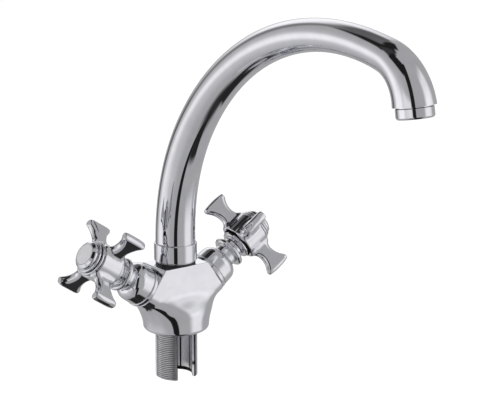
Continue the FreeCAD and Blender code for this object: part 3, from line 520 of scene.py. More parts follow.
@dataclass(frozen=True)
class ThreadFinishWithShade(Finish):
    """Plate on a slotted, threaded tube, with painted shade in the thread's roots and painted
    shade lines along the slot, in the bore and at its foot.

    Bands are in millimetres from the axis, from where a mark starts to where it is full. Lines
    are a middle and half a width: beside the slot and up the axis in millimetres, round the bore
    in radians from the side.
    """

    # Painted shade: darker thread roots, and near-black lines by the slot's edges, in the bore
    # and at its foot, where shade falls.
    root_bands: tuple[tuple[float, float], ...] = ((15.7, 15.25), (14.6, 14.9))
    bore_band: tuple[float, float] = (12.5, 12.3)
    edge_band: tuple[float, float] = (14.2, 14.4)
    edge_line: tuple[float, float] = (8.3, 0.28)
    burr_line: tuple[float, float] = (9.15, 0.45)
    foot_shade_line: tuple[float, float] = (-36.6, 1.4)
    inner_shade_lines: tuple[tuple[float, float], ...] = (
        (math.radians(40), 0.05), (math.radians(-1), 0.05))
    root_painted_shade: str = "#a3a1a0"
    bore_shade: str = "#f0f0f4"
    painted_line_shade: str = "#1b1b1a"
    bore_roughness: float = 0.36
    burr_roughness: float = 0.6

    def marked(self, tree: Tree, tint: Socket, rough: Socket) -> tuple[Socket, Socket]:
        """Paint shade into the thread's roots, pale the bore and paint shade lines along the
        slot, in the bore and at its foot.

        Args:
            tree: the material's node tree.
            tint: colour of the plate.
            rough: its roughness.

        Returns:
            Colour and roughness with the marks.
        """
        place = add(tree, "TexCoord").outputs["Object"]
        x, y, z = add(tree, "SeparateXYZ", Vector=place).outputs
        flat = add(tree, "VectorMath", {"operation": "MULTIPLY"}, i0=place,
                   i1=(1, 1, 0)).outputs[0]
        radius = add(tree, "VectorMath", {"operation": "LENGTH"}, i0=flat).outputs[1]

        def band(ends: tuple[float, float]) -> Socket:
            """Share that grows from nought to one between two radii in millimetres."""
            return ramped(tree, radius, ends[0] * MM, ends[1] * MM)

        def line(value: Socket, mark: tuple[float, float], unit: float = MM) -> Socket:
            """Share that is one within a narrow line and nought beside it."""
            away = reckoned(tree, "ABSOLUTE", reckoned(tree, "SUBTRACT", value, mark[0] * unit))
            return ramped(tree, away, mark[1] * unit * 1.15, mark[1] * unit * 0.85)

        def both(first: Socket, second: Socket, kind: str = "MULTIPLY") -> Socket:
            """Two shares put together."""
            return reckoned(tree, kind, first, second)

        aside = reckoned(tree, "ABSOLUTE", x)
        front = reckoned(tree, "LESS_THAN", y, 0.0)
        turn = reckoned(tree, "ARCTAN2", y, aside)
        roots = both(*(band(ends) for ends in self.root_bands))
        inner = band(self.bore_band)
        edges = both(both(line(aside, self.edge_line), front), band(self.edge_band))
        burr = both(line(aside, self.burr_line), front)
        painted_lines = both(*(line(turn, mark, 1.0) for mark in self.inner_shade_lines), "ADD")
        painted_lines = both(both(painted_lines, line(z, self.foot_shade_line), "MAXIMUM"), inner)
        # Paint the shade into the roots and the shade lines, and pale the bore.
        for part, shade in ((roots, self.root_painted_shade), (inner, self.bore_shade),
                            (edges, self.painted_line_shade), (painted_lines, self.painted_line_shade)):
            tint = laid(tree, part, tint, linear(shade))
        for part, dull in ((inner, self.bore_roughness), (burr, self.burr_roughness)):
            rough = add(tree, "Mix", {"data_type": "FLOAT"}, i0=part, i2=rough,
                        i3=dull).outputs[0]
        return tint, rough


# Bright nickel-chrome plate on polished brass: near-mirror, slightly cool, with a faint
# orange-peel from the buffing that makes long reflections waver.
CHROME = Finish("chrome_plate_buffed", "#ececf1", "#e4e4ea", 1.0, 0.045, 0.02, 9.0, 0.006,
                Pattern.POLISHED)
# The same plate on a cut thread: bright crests, painted shade in the roots that draws the lines
# of the thread, and a pale soft bore, with thin painted shade lines along the slot and inside the
# bore.
THREAD_CHROME_WITH_SHADE = ThreadFinishWithShade("chrome_plate_on_thread_painted_shade", "#ececf1", "#dcdce2", 1.0, 0.12, 0.04,
                             3.0, 0.006, Pattern.TURNED)
# Satin plate on a blasted face: reflections blur away and leave a pale, almost white disc.
SATIN_CHROME = Finish("chrome_plate_satin", "#f1f1f5", "#e9e9ee", 0.45, 0.32, 0.04, 0.5, 0.01,
                      Pattern.LAPPED)
# Free-cutting brass as it leaves the lathe: warm, with fine rings from the tool.
BRASS = Finish("brass_turned", "#c9a65c", "#b58f48", 1.0, 0.22, 0.05, 0.8, 0.02, Pattern.TURNED)
# Moulded nitrile rubber: black, a dull bloom, no mirror reflection.
RUBBER = Finish("nitrile_rubber_moulded", "#17171a", "#222226", 0.0, 0.62, 0.08, 0.6, 0.02,
                Pattern.MOULDED)
# Black moulded nylon: smoother than rubber, with a soft sheen.
NYLON = Finish("nylon_moulded", "#1c1c1f", "#26262a", 0.0, 0.42, 0.06, 0.8, 0.01,
               Pattern.MOULDED)
# Painted shade under the hub, in its recess and in the grooves between its rings: a dull,
# near-black material laid where shade falls, that makes these gaps dark.
PAINTED_GAP_SHADE = Finish("near_black_painted_shade", "#1d1d1e", "#29292a", 0.3, 0.6, 0.08, 0.9, 0.02,
                 Pattern.MOULDED)
# White acetal resin: a milky, slightly waxy white.
ACETAL = Finish("acetal_moulded", "#e9e8e2", "#dcdbd4", 0.0, 0.38, 0.05, 1.0, 0.01,
                Pattern.MOULDED)
# Lapped alumina: ivory and flat, with a faint polish.
ALUMINA = Finish("alumina_lapped", "#ebe6da", "#e0dacd", 0.0, 0.25, 0.04, 0.4, 0.004,
                 Pattern.LAPPED)
# Vulcanised fibre: dull red-brown board with a pressed texture.
FIBRE = Finish("vulcanised_fibre_pressed", "#8a3a2c", "#74301f", 0.0, 0.7, 0.06, 0.7, 0.03,
               Pattern.MOULDED)
# Bright zinc on steel: cooler and greyer than chrome, slightly cloudy.
ZINC = Finish("zinc_plated_steel", "#c3c5c9", "#b2b4ba", 1.0, 0.24, 0.06, 0.8, 0.008,
              Pattern.TURNED)


def dressed(piece: bpy.types.Object, finish: Finish) -> bpy.types.Object:
    """Give a piece one finish all over.

    Args:
        piece: the piece.
        finish: its finish.

    Returns:
        The same piece.
    """
    piece.data.materials.clear()
    piece.data.materials.append(finish.material())
    return piece


def stands_for(node: str, skin: Skin, name: str, body: str, place: Placement = HERE,
               finish: Finish = CHROME) -> bpy.types.Object:
    """Make a piece that rides on a body in place of a CAD node.

    Args:
        node: the node that it stands for.
        skin: its surface.
        name: its name.
        body: body that it moves with.
        place: where its local frame lies.
        finish: its finish.

    Returns:
        The new piece.
    """
    piece = dressed(skin.made(name, place), finish)
    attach(piece, body)
    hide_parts(node)
    log.info("%s stands for %s", name, node)
    return piece


def carried_over(finish: Finish, *nodes: str) -> None:
    """Dress CAD nodes whose own shape is right.

    Args:
        finish: their finish.
        *nodes: their names.
    """
    for node in nodes:
        dressed(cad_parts[node], finish)
        log.info("%s keeps its shape, in %s", node, finish.name)


# ---------------------------------------------------------------- casting and shank


@dataclass
class Casting:
    """The Y-shaped body: a flat plate with two arms that grows out of a round foot."""

    foot_radius: float = 25.0
    foot_top: float = 21.5
    foot_rounding: float = 9.0
    foot_edge: float = 3.2
    blend: float = 12.0
    half_thickness: float = 15.0
    plateau: float = 51.5
    arm_reach: float = 35.2
    arm_depth: float = 15.2
    arm_rounding: float = 12.0
    crease: float = 0.5
    stem_bore: float = 9.0
    stem_floor: float = 31.5
    shank_bore: float = 15.05
    shank_top: float = 9.0
    valve_bore: float = 10.45
    valve_floor: float = 16.0
    inlet_aside: float = 6.0
    inlet_radius: float = 5.0
    inlet_top: float = 18.0
    screw_height: float = 44.0
    screw_radius: float = 2.5
    screw_start: float = 5.0
    seal_radius: float = 19.5
    seal_half: float = 1.25
    seal_depth: float = 2.0
    seal_edge: float = 0.1

    def distance(self, spots: Array) -> Array:
        """Distances to the casting with its bores.

        Args:
            spots: points in millimetres.

        Returns:
            One distance each, negative inside.
        """
        x, y, z = spots.T
        angle = math.radians(ARM_DEGREES)
        cosine, sine = math.cos(angle), math.sin(angle)
        aside, deep = np.abs(x), np.abs(y)
        along = aside * cosine + (z - ARM_HEIGHT) * sine
        above = -aside * sine + (z - ARM_HEIGHT) * cosine
        plate = rounded_cross(deep - self.half_thickness, -above - self.arm_depth,
                              self.arm_rounding)
        plate = rounded_cross(plate, along - self.arm_reach, self.crease)
        plate = rounded_cross(plate, z - self.plateau, self.crease)
        radial = np.hypot(x, y)
        foot = rounded_cross(radial - self.foot_radius, z - self.foot_top, self.foot_rounding)
        solid = filleted_join(plate, foot, self.blend)
        solid = rounded_cross(solid, -z, self.foot_edge)
        solid = bored(solid, radial - self.stem_bore, z, start=self.stem_floor)
        solid = bored(solid, radial - self.shank_bore, z, end=self.shank_top)
        solid = bored(solid, np.hypot(above, y) - self.valve_bore, along, start=self.valve_floor)
        solid = bored(solid, np.hypot(aside - self.inlet_aside, y) - self.inlet_radius, z,
                      end=self.inlet_top)
        solid = bored(solid, np.hypot(x, z - self.screw_height) - self.screw_radius, y,
                      start=self.screw_start)
        ring = np.maximum(np.abs(radial - self.seal_radius) - self.seal_half,
                          np.abs(z) - self.seal_depth)
        return rounded_cross(solid, -ring, self.seal_edge)

    def build(self) -> None:
        """Make the casting and dress what is fixed in it."""
        skin = Skin()
        moulded(skin, self.distance, (-39.6, -26.1, -1.3), (39.8, 26.2, 53.0), 0.6)
        stands_for("mixer_body", skin, "casting_skin", "base")
        carried_over(RUBBER, "base_seal")
        carried_over(ZINC, "spout_lock_screw")


@dataclass
class Shank:
    """The slotted shank with its outside thread."""

    radius: float = 16.0
    bore: float = 12.0
    length: float = 38.0
    pitch: float = 1.5
    depth: float = 0.92
    crest_share: float = 0.26
    flank_share: float = 0.6
    chamfer: float = 1.0
    lead_slope: float = 1.6
    slot_half: float = 8.1
    seat_radius: float = 15.0
    seat: float = 9.0
    steps: int = 140
    rows_per_turn: int = 10

    def thread(self, height: Array, turn: Array) -> Array:
        """Outside radius of the thread, with its lead at the lower end.

        Args:
            height: heights, from the lower end at minus the length.
            turn: angles round the axis.

        Returns:
            The radius at each of them.
        """
        wave = np.abs((height / self.pitch - turn / (2 * math.pi)) % 1.0 - 0.5) * 2
        crest = self.radius - self.depth * np.clip(
            (wave - self.crest_share) / self.flank_share, 0, 1)
        lead = self.radius + (height + self.length - self.chamfer) * self.lead_slope
        return np.minimum(crest, lead)

    def wall(self, radius: Array, height: Array) -> Array:
        """Points of a wall that stops at the slot's two flat faces.

        Args:
            radius: rows by columns of radii.
            height: the height of each.

        Returns:
            The points, rows by columns by three.
        """
        edge = np.arcsin(self.slot_half / radius)
        share = np.linspace(0, 1, radius.shape[1])[None]
        turn = edge + share * (2 * math.pi - 2 * edge)
        return np.stack([radius * np.sin(turn), -radius * np.cos(turn), height], -1)

    def build(self) -> None:
        """Make the threaded, slotted part and the plain spigot above it."""
        skin = Skin()
        rows = np.arange(-self.length, 0.01, self.pitch / self.rows_per_turn)[:, None]
        turn = np.linspace(0, 2 * math.pi, self.steps)[None]
        height = rows + 0 * turn
        outside = self.wall(self.thread(height, turn), height)
        inside = self.wall(np.full_like(height, self.bore), height)
        skin.grid(outside, surface_ways(outside), closed=False)
        skin.grid(inside[:, ::-1], surface_ways(inside[:, ::-1]), closed=False)
        for column, way in ((0, -1.0), (-1, 1.0)):
            near, far = outside[:, column], inside[:, column]
            face = np.stack([far, near] if column == 0 else [near, far], 1)
            skin.grid(face, np.broadcast_to(np.array([way, 0, 0]), face.shape), closed=False)
        for row, way in ((0, -1.0), (-1, 1.0)):
            pair = [inside[row], outside[row]] if row == 0 else [outside[row], inside[row]]
            face = np.stack(pair)
            skin.grid(face, np.broadcast_to(np.array([0, 0, way]), face.shape), closed=False)
        turned(skin, [(self.bore, 0.0, 0), (self.seat_radius, 0.0, 0),
                      (self.seat_radius, self.seat, 0.6), (self.bore, self.seat, 0.3)])
        stands_for("mounting_shank", skin, "threaded_shank", "base", finish=THREAD_CHROME_WITH_SHADE)


def surface_ways(spots: Array) -> Array:
    """The way an open grid of points faces, from its two directions.

    Args:
        spots: rows by columns by three.

    Returns:
        A direction for each point.
    """
    down = np.gradient(spots, axis=0)
    across = np.gradient(spots, axis=1)
    ways = np.cross(across, down)
    return ways / np.maximum(np.linalg.norm(ways, axis=-1, keepdims=True), 1e-9)


# ---------------------------------------------------------------- spout


@dataclass
class Spout:
    """The swan neck: a tapering tube along three bends, in a collar, ending in an aerator."""

    collar_foot: float = 53.4
    collar_top: float = 67.5
    collar_radius: float = 16.2
    floor: float = 56.8
    wall: float = 1.5
    bend_start: float = 72.0
    bends: tuple[tuple[float, float], ...] = ((159.0, 33.0), (194.0, 70.7), (35.0, 65.8))
    diameters: tuple[tuple[float, float], ...] = (
        (0.0, 30.3), (0.3, 27.4), (0.55, 24.7), (0.78, 22.0), (0.86, 22.4), (1.0, 28.2))
    aerator_radius: float = 12.4
    aerator_drop: float = 7.8
    stem_hole: float = 9.0
    tube_seat: float = 15.2
    rows: int = 420
    inner_rows: int = 140
    steps: int = 144

    def line(self, places: Array) -> tuple[Array, Array, Array, Array]:
        """The centre line of the tube.

        Args:
            places: lengths along it from the collar's floor, in millimetres.

        Returns:
            Points, leans in radians, curvatures and the whole length repeated.
        """
        rise = self.bend_start - self.floor
        reach, height = np.zeros_like(places), self.floor + np.minimum(places, rise)
        lean, curve = np.zeros_like(places), np.zeros_like(places)
        start, lean_start = rise, 0.0
        for radius, degrees in self.bends:
            turn = math.radians(degrees)
            part = np.clip((places - start) / radius, 0, turn)
            reach = reach + radius * (math.cos(lean_start) - np.cos(lean_start + part))
            height = height + radius * (np.sin(lean_start + part) - math.sin(lean_start))
            lean = lean + part
            curve = np.where((places > start) & (places <= start + radius * turn), 1 / radius,
                             curve)
            start, lean_start = start + radius * turn, lean_start + turn
        spots = np.stack([0 * places, -reach, height], 1)
        return spots, lean, curve, np.full_like(places, start)

    def length(self) -> float:
        """Whole length of the centre line."""
        return float(self.line(np.zeros(1))[3][0])

    def outlet(self) -> Placement:
        """Local Z out of the outlet, with the origin at the tube's end."""
        spots, lean, _, _ = self.line(np.array([self.length()]))
        return Placement(np.array(Matrix.Rotation(float(lean[0]), 3, "X")), spots[0])

    def tube_wall(self, skin: Skin, places: Array, shrink: float) -> None:
        """Add the outer or the inner wall of the tube.

        Args:
            skin: what the faces are added to.
            places: lengths along the centre line.
            shrink: how far the wall lies inside the outer one.
        """
        spots, lean, curve, whole = self.line(places)
        radius = eased(self.diameters, places / whole) / 2 - shrink
        taper = np.gradient(radius, places)
        around = full_circle(self.steps)
        ahead = np.stack([0 * lean, -np.sin(lean), np.cos(lean)], 1)[:, None]
        side = np.stack([0 * lean, np.cos(lean), np.sin(lean)], 1)[:, None]
        cosine, sine = np.cos(around)[None, :, None], np.sin(around)[None, :, None]
        out = cosine * np.array([1.0, 0, 0]) + sine * side
        rows = spots[:, None] + radius[:, None, None] * out
        stretch = 1 + (curve * radius)[:, None, None] * sine
        facing = out - ahead * taper[:, None, None] / stretch
        facing = facing / np.linalg.norm(facing, axis=-1, keepdims=True)
        if shrink > 0:
            skin.grid(rows[:, ::-1], -facing[:, ::-1])
        else:
            skin.grid(rows, facing)

    def build_tube(self) -> None:
        """Make the tube with its rounded end and its inner wall."""
        skin = Skin()
        whole = self.length()
        self.tube_wall(skin, np.linspace(0, whole, self.rows), 0.0)
        self.tube_wall(skin, np.linspace(0, whole, self.inner_rows), self.wall)
        around = full_circle(self.steps)
        for place, way in ((0.0, -1.0), (whole, 1.0)):
            spots, lean, _, _ = self.line(np.array([place]))
            side = np.array([0, math.cos(lean[0]), math.sin(lean[0])])
            ahead = np.array([0, -math.sin(lean[0]), math.cos(lean[0])])
            outer = float(eased(self.diameters, np.array([place / whole]))[0]) / 2
            ring = (np.cos(around)[:, None] * np.array([1.0, 0, 0])
                    + np.sin(around)[:, None] * side)
            radii = [outer - self.wall, outer] if way < 0 else [outer, outer - self.wall]
            face = np.stack([spots[0] + r * ring for r in radii])
            skin.grid(face, np.broadcast_to(way * ahead, face.shape))
        stands_for("spout_tube", skin, "swan_neck_tube", "spout")

    def build_collar(self) -> None:
        """Make the ring at the spout's foot, with a narrow step under it."""
        skin = Skin()
        outer, bore, hole = self.collar_radius, self.tube_seat, self.stem_hole
        turned(skin, [
            (hole, self.collar_foot, 0), (outer - 0.7, self.collar_foot, 0.2),
            (outer - 0.7, self.collar_foot + 0.5, 0.1), (outer, self.collar_foot + 0.9, 0.5),
            (outer, self.collar_top, 0.5), (bore, self.collar_top, 0), (bore, self.floor, 0),
            (hole, self.floor, 0)])
        stands_for("spout_collar", skin, "spout_foot_ring", "spout")

    def build_aerator(self) -> None:
        """Make the aerator housing with a turned lip."""
        skin = Skin()
        radius, drop = self.aerator_radius, self.aerator_drop
        turned(skin, [
            (10.0, -6.0, 0), (11.0, -6.0, 0), (11.0, 0.1, 0), (radius - 0.5, 0.1, 0.1),
            (radius - 0.5, 0.7, 0.1), (radius, 1.1, 0.3), (radius, drop - 1.2, 0.2),
            (radius - 0.9, drop, 0.5), (8.75, drop, 0.3), (8.75, drop - 1.4, 0),
            (10.0, drop - 1.4, 0)])
        stands_for("aerator_housing", skin, "aerator_ring", "spout", self.outlet())

    def build(self) -> None:
        """Make the spout and dress what turns with it."""
        self.build_tube()
        self.build_collar()
        self.build_aerator()
        carried_over(NYLON, "spout_slide_ring")
        carried_over(BRASS, "spout_stem")
        carried_over(RUBBER, "spout_lower_o_ring", "spout_upper_o_ring", "aerator_gasket")
        carried_over(ACETAL, "aerator_insert")


# ---------------------------------------------------------------- handles


@dataclass
class Control:
    """One side: shroud, cross handle and index cap along an arm's axis."""

    name: str
    side: int
    turn: float
    hub: float = 14.4
    hub_foot: float = 70.2
    hub_top: float = 88.0
    blade_reach: float = 36.5
    blade_middle: float = 79.7
    waist_half: float = 5.9
    tip_half: float = 10.7
    root_half: float = 9.6
    widest_half: float = 12.0
    waist_place: float = 21.3
    root_bend: float = 7.5
    tip_bend: float = 15.0
    steepest: float = 0.25
    flare_corner: float = 1.5
    thickness_half: float = 3.8
    edge: float = 3.6
    tip_corner: float = 2.6
    fillet: float = 3.2
    hub_edge: float = 0.6
    foot_edge: float = 0.8
    top: float = 89.4
    top_edge: float = 0.4
    spindle: tuple[float, float] = (3.95, 76.3)
    screw: tuple[float, float] = (2.2, 83.8)
    cap_seat: tuple[float, float] = (6.2, 83.7)
    recess: float = 12.7
    recess_top: float = 73.0
    # Groove floors that get painted shade: from, to and floor radius.
    grooves: tuple[Corner, ...] = ((87.9, 88.7, 12.5), (90.2, 91.0, 11.4))

    def place(self, turn: float = 0.0) -> Placement:
        """Local Z along the arm, outwards.

        Args:
            turn: degrees about that axis.

        Returns:
            The placement, its origin where the arm axes cross.
        """
        lean = Matrix.Rotation(self.side * math.radians(90 - ARM_DEGREES), 3, "Y")
        spin = Matrix.Rotation(math.radians(turn), 3, "Z")
        return Placement(np.array(lean @ spin), np.array([0, 0, ARM_HEIGHT]))

    def blade(self, reach: Array, height: Array) -> Array:
        """Distance to a blade's outline in its own plane.

        Args:
            reach: distances from the handle's axis.
            height: places along that axis.

        Returns:
            Signed distances, negative inside.
        """
        off = reach - self.waist_place
        bend = np.where(off < 0, self.root_bend, self.tip_bend)
        inner = np.sqrt(np.maximum(bend ** 2 - off ** 2, (self.steepest * bend) ** 2))
        width = np.minimum(self.waist_half + bend - inner, self.widest_half)
        slope = np.abs(off) / inner
        aside = np.abs(height - self.blade_middle)
        hollow = (aside - width) / np.sqrt(1 + slope ** 2)
        limit = np.where(off < 0, self.root_half, self.tip_half)
        sides = rounded_cross(hollow, aside - limit, self.flare_corner)
        return rounded_cross(sides, reach - self.blade_reach, self.tip_corner)

    def distance(self, spots: Array) -> Array:
        """Distances to the hub and its four blades.

        Args:
            spots: local points in millimetres.

        Returns:
            One distance each, negative inside.
        """
        x, y, z = spots.T
        radial = np.hypot(x, y)
        hub = rounded_cross(radial - self.hub, z - self.hub_top, self.hub_edge)
        hub = rounded_cross(hub, self.hub_foot - z, self.foot_edge)
        reach, off = np.maximum(np.abs(x), np.abs(y)), np.minimum(np.abs(x), np.abs(y))
        blades = rounded_cross(self.blade(reach, z), off - self.thickness_half, self.edge)
        solid = filleted_join(hub, blades, self.fillet)
        solid = rounded_cross(solid, z - self.top, self.top_edge)
        for radius, end in (self.spindle, (self.recess, self.recess_top), self.screw):
            solid = bored(solid, radial - radius, z, end=end)
        return bored(solid, radial - self.cap_seat[0], z, start=self.cap_seat[1])

    def build_handle(self) -> None:
        """Make hub, blades, cuff and turned rings as one piece."""
        skin = Skin()
        moulded(skin, self.distance, (-37.3, -37.3, 67.9), (37.4, 37.4, 91.4), 0.5)
        bore, seat = self.spindle[0], self.cap_seat[0]
        turned(skin, [(bore, 65.8, 0), (8.6, 65.8, 0.3), (8.6, 66.8, 0.3), (12.1, 66.8, 1.2),
                      (12.1, 69.5, 1.2), (10.2, 69.5, 0.4), (10.2, 73.4, 0), (bore, 73.4, 0)])
        turned(skin, [(seat, 87.0, 0), (12.5, 87.0, 0), (12.5, 88.6, 0.1), (13.6, 88.6, 0.5),
                      (13.6, 90.3, 0.8), (11.4, 90.3, 0.1), (11.4, 90.9, 0.1), (12.4, 90.9, 0.5),
                      (12.4, 92.7, 0.8), (10.1, 92.7, 0), (seat, 92.7, 0)])
        self.paint_gap_shade(stands_for(
            f"{self.name}_handle", skin, f"{self.name}_cross_handle", f"{self.name}_control",
            self.place(self.turn)))

    def paint_gap_shade(self, piece: bpy.types.Object) -> None:
        """Paint shade on the hub's underside, its recess and the floors of its ring grooves with
        a near-black material.

        Args:
            piece: the handle.
        """
        faces = piece.data.polygons
        middles, ways = np.empty(len(faces) * 3), np.empty(len(faces) * 3)
        faces.foreach_get("center", middles)
        faces.foreach_get("normal", ways)
        place = self.place()
        local = (middles.reshape(-1, 3) / MM - place.origin) @ place.turn
        down = -(ways.reshape(-1, 3) @ place.turn)[:, 2]
        radial, height = np.hypot(local[:, 0], local[:, 1]), local[:, 2]
        slack, rim, facing_down = 0.3, 0.4, 0.5
        under = (height > self.hub_foot - slack) & (height < self.recess_top + 2 * slack)
        hollow = radial < self.recess + slack
        dark = under & (hollow | ((radial < self.hub - rim) & (down > facing_down)))
        for low, high, floor in self.grooves:
            dark |= (height > low) & (height < high) & (np.abs(radial - floor) < slack / 2)
        # Painted shade: a near-black material on the faces in the hub's recess, under it and on
        # the groove floors.
        piece.data.materials.append(PAINTED_GAP_SHADE.material())
        faces.foreach_set("material_index", dark.astype(np.int32))

    def build_cap(self) -> None:
        """Make the index cap and the plain disc let into its face."""
        skin = Skin()
        turned(skin, [(4.95, 87.7, 0), (6.15, 87.7, 0.2), (6.15, 92.7, 0), (10.1, 92.7, 0),
                      (10.1, 93.1, 0.1), (10.9, 93.1, 0.4), (10.9, 95.0, 1.2),
                      (8.75, 96.7, 0.4), (8.05, 96.7, 0.1), (8.05, 96.4, 0), (0, 96.4, 0),
                      (0, 94.7, 0), (4.95, 94.7, 0)])
        stands_for(f"{self.name}_index_cap", skin, f"{self.name}_cap_ring",
                   f"{self.name}_control", self.place())
        skin = Skin()
        turned(skin, [(0, 96.4, 0), (7.9, 96.4, 0), (7.9, 96.75, 0.15), (0, 96.95, 0)])
        stands_for(f"{self.name}_cap_face", skin, f"{self.name}_cap_disc",
                   f"{self.name}_control", self.place(), SATIN_CHROME)

    def build_shroud(self) -> None:
        """Make the bell with its ring, neck and bead."""
        skin = Skin()
        turned(skin, [
            (12.8, 35.2, 0), (15.9, 35.2, 0.7), (15.9, 38.4, 0.7), (14.9, 38.4, 0.1),
            (14.9, 38.9, 0.1), (15.5, 38.9, 0.3), (14.95, 51.25, 7.8), (9.1, 53.17, 0.6),
            (9.1, 57.9, 0.8), (13.0, 57.9, 1.8), (13.0, 61.9, 1.9), (8.5, 61.9, 1.0),
            (8.5, 65.2, 0.3), (7.55, 65.2, 0), (7.55, 44.7, 0), (12.8, 44.7, 0)])
        stands_for(f"{self.name}_shroud", skin, f"{self.name}_bell_shroud", "base",
                   self.place())

    def build(self) -> None:
        """Make the side and dress what is inside it."""
        self.build_shroud()
        self.build_handle()
        self.build_cap()
        for finish, *parts in ((BRASS, "valve_body", "valve_stem"), (FIBRE, "valve_gasket"),
                               (ALUMINA, "fixed_disc", "moving_disc"), (ZINC, "handle_screw"),
                               (RUBBER, "seat_seal", "stem_o_ring")):
            carried_over(finish, *(f"{self.name}_{part}" for part in parts))


# ---------------------------------------------------------------- studio


@dataclass(frozen=True)
class Card:
    """A card in the studio, light or dark, that the chrome reflects.

    Angles are in degrees: azimuth from +X towards +Y, elevation from level. The edge is the width
    of its soft border, and the lean how far it shifts aside for each degree up.
    """

    azimuth: float
    elevation: float
    width: float
    height: float
    light: float
    edge: float = 6.0
    lean: float = 0.0


@dataclass(frozen=True)
class Flag:
    """A long straight flag hung on a slant across the studio.

    Angles are in degrees: its middle as for a card, and its slant from upright.
    """

    azimuth: float
    elevation: float
    slant: float
    width: float
    length: float
    light: float
    edge: float = 4.0


@dataclass
class Studio:
    """A white studio: pale floor, soft light, cards and a flag for the chrome, and the camera."""

    camera_place: tuple[float, float, float] = (-0.73733, -1.06536, 0.43521)
    target: tuple[float, float, float] = (0.0, -0.09, 0.09)
    pan: float = 0.0012
    tilt: float = 0.0216
    roll: float = 0.0016
    lens: float = 129.163
    film_width: float = 36.0
    sight: tuple[float, float] = (0.05, 50.0)
    floor_height: float = -0.40
    floor_half: float = 4.0
    floor_glow: float = 0.22
    diffuse_light: float = 0.85
    grey: float = 0.42
    cards: tuple[Card, ...] = (
        Card(0, -90, 800, 34, 0.03, 18),
        Card(-82, -70, 56, 26, 0.02, 8),
        Card(62, -76, 104, 30, 0.02, 8),
        Card(152, -12, 84, 60, 0.60, 36),
        Card(146, -6, 44, 26, 1.05, 20),
        Card(-168, 4, 40, 18, 0.85, 12),
        Card(65, 23, 42, 30, 1.1, 22),
        Card(97, 12, 14, 66, 0.21, 12),
        Card(98, -8, 16, 14, 0.13, 8),
        Card(97, 68, 112, 24, 0.015, 8),
        Card(120, 52, 34, 26, 0.015, 6),
        Card(146, 58, 40, 30, 0.04, 10),
        Card(174, 53, 46, 26, 0.012, 5),
        Card(80, 50, 60, 16, 0.12, 10),
        Card(-121, -41, 20, 74, 0.012, 4, -0.1),
        Card(-46, -8, 46, 46, 0.9, 22),
        Card(-46, 26, 46, 44, 0.84, 20),
        Card(-50, 13, 30, 22, 1.0, 18),
    )
    flags: tuple[Flag, ...] = (
        Flag(-142.8, 28.0, -16.7, 19.0, 77, 0.012, 4),
    )

    def camera(self) -> None:
        """Stand the camera where the photographer's was."""
        data = bpy.data.cameras.new("camera")
        data.sensor_width, data.lens = self.film_width, self.lens
        data.clip_start, data.clip_end = self.sight
        body = linked("camera", data)
        place = Vector(self.camera_place)
        ahead = (Vector(self.target) - place).normalized()
        right = ahead.cross(Vector((0, 0, 1))).normalized()
        up = right.cross(ahead)
        ahead, right = self.swung(ahead, right, self.pan)
        ahead, up = self.swung(ahead, up, self.tilt)
        right, up = self.swung(right, up, self.roll)
        turn = Matrix((right, up, -ahead)).transposed()
        body.matrix_world = Matrix.Translation(place) @ turn.to_4x4()
        bpy.context.scene.camera = body

    @staticmethod
    def swung(first: Vector, second: Vector, angle: float) -> tuple[Vector, Vector]:
        """Two crossed directions turned towards each other's place by a small angle."""
        cosine, sine = math.cos(angle), math.sin(angle)
        return first * cosine + second * sine, second * cosine - first * sine

    def room(self) -> None:
        """Light from all round, white behind the object, with cards and flags in reflections."""
        world = bpy.data.worlds.new("studio")
        bpy.context.scene.world = world
        tree = emptied(world)
        way = add(tree, "TexCoord").outputs["Generated"]
        x, y, z = add(tree, "SeparateXYZ", Vector=way).outputs
        level = reckoned(tree, "ARCSINE", z)
        turn = reckoned(tree, "ARCTAN2", y, x)
        light = add(tree, "RGB").outputs[0]
        light.default_value = even(self.grey)
        for card in self.cards:
            light = self.hung(tree, card, *self.beside(tree, card, turn, level), light)
        for flag in self.flags:
            light = self.hung(tree, flag, *self.aimed(tree, flag, way), light)
        seen = add(tree, "LightPath").outputs
        cards, plain, white = (
            add(tree, "Background", Color=colour, Strength=strength).outputs[0]
            for colour, strength in ((light, 1.0), (WHITE, self.diffuse_light), (WHITE, 1.0)))
        mixed = add(tree, "MixShader", i0=seen["Is Glossy Ray"], i1=plain, i2=cards)
        mixed = add(tree, "MixShader", i0=seen["Is Camera Ray"], i1=mixed.outputs[0],
                    i2=white)
        add(tree, "OutputWorld", Surface=mixed.outputs[0])

    @staticmethod
    def beside(tree: Tree, card: Card, turn: Socket, level: Socket) -> tuple[Socket, Socket]:
        """How far a direction lies beside and above a card's middle.

        Args:
            tree: the room's node tree.
            card: the card.
            turn: azimuth of the direction that is looked in, in radians.
            level: its elevation.

        Returns:
            Both angles in radians.
        """
        high = reckoned(tree, "SUBTRACT", level, math.radians(card.elevation))
        middle = reckoned(tree, "MULTIPLY_ADD", high, card.lean, math.radians(card.azimuth))
        aside = reckoned(tree, "SUBTRACT", turn, middle)
        aside = reckoned(tree, "WRAP", aside, math.pi, -math.pi)
        return aside, high

    @staticmethod
    def aimed(tree: Tree, flag: Flag, way: Socket) -> tuple[Socket, Socket]:
        """How far a direction lies beside a flag and along it.

        Args:
            tree: the room's node tree.
            flag: the flag.
            way: the direction that is looked in.

        Returns:
            Both angles in radians.
        """
        turn = (Matrix.Rotation(math.radians(flag.azimuth), 3, "Z")
                @ Matrix.Rotation(-math.radians(flag.elevation), 3, "Y")
                @ Matrix.Rotation(-math.radians(flag.slant), 3, "X"))
        ahead, across, along = (
            add(tree, "VectorMath", {"operation": "DOT_PRODUCT"}, i0=way,
                i1=turn.col[axis]).outputs[1] for axis in range(3))
        return reckoned(tree, "ARCSINE", across), reckoned(tree, "ARCTAN2", along, ahead)

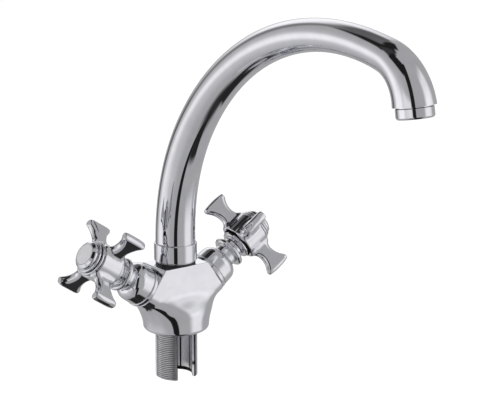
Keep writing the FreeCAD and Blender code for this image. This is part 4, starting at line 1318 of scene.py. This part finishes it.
    @staticmethod
    def hung(tree: Tree, card: Card | Flag, aside: Socket, high: Socket,
             light: Socket) -> Socket:
        """Hang one card or flag in front of what is there already.

        Args:
            tree: the room's node tree.
            card: the card or flag.
            aside: how far the direction lies beside its middle, in radians.
            high: how far it lies above its middle.
            light: brightness there so far.

        Returns:
            The brightness with the card.
        """
        length = card.length if isinstance(card, Flag) else card.height
        shares = []
        for angle, size in ((aside, card.width), (high, length)):
            away = reckoned(tree, "ABSOLUTE", angle)
            shares.append(add(tree, "MapRange", {"interpolation_type": "SMOOTHSTEP"},
                              Value=away, From_Min=math.radians((size - card.edge) / 2),
                              From_Max=math.radians((size + card.edge) / 2),
                              To_Min=1.0, To_Max=0.0).outputs[0])
        return laid(tree, reckoned(tree, "MULTIPLY", *shares), light, even(card.light))

    def floor(self) -> None:
        """A plain pale floor well below the shank, white to the camera but for the shadow."""
        mesh = bpy.data.meshes.new("floor")
        half, low = self.floor_half, self.floor_height
        mesh.from_pydata([(-half, -half, low), (half, -half, low), (half, half, low),
                          (-half, half, low)], [], [(0, 1, 2, 3)])
        ground = linked("floor", mesh)
        made = bpy.data.materials.new("floor_matt_white_paint")
        tree = emptied(made)
        seen = add(tree, "LightPath")
        matt = add(tree, "BsdfDiffuse", Color=WHITE)
        glow = add(tree, "Emission", Color=WHITE, Strength=self.floor_glow)
        lit = add(tree, "AddShader", i0=matt.outputs[0], i1=glow.outputs[0])
        white = add(tree, "MixShader", i0=seen.outputs["Is Camera Ray"],
                    i1=matt.outputs[0], i2=lit.outputs[0])
        add(tree, "OutputMaterial", Surface=white.outputs[0])
        mesh.materials.append(made)
        ground.visible_glossy = False

    def build(self) -> None:
        """Make the studio."""
        self.room()
        self.floor()
        self.camera()
        bpy.context.scene.view_settings.view_transform = "Standard"


def main() -> None:
    """Build every sub-assembly, then the studio."""
    logging.basicConfig(level=logging.INFO, format="%(name)s: %(message)s")
    Casting().build()
    Shank().build()
    Spout().build()
    Control("hot", -1, 45.4).build()
    Control("cold", 1, 52.2).build()
    Studio().build()


if __name__ == "__main__":
    main()
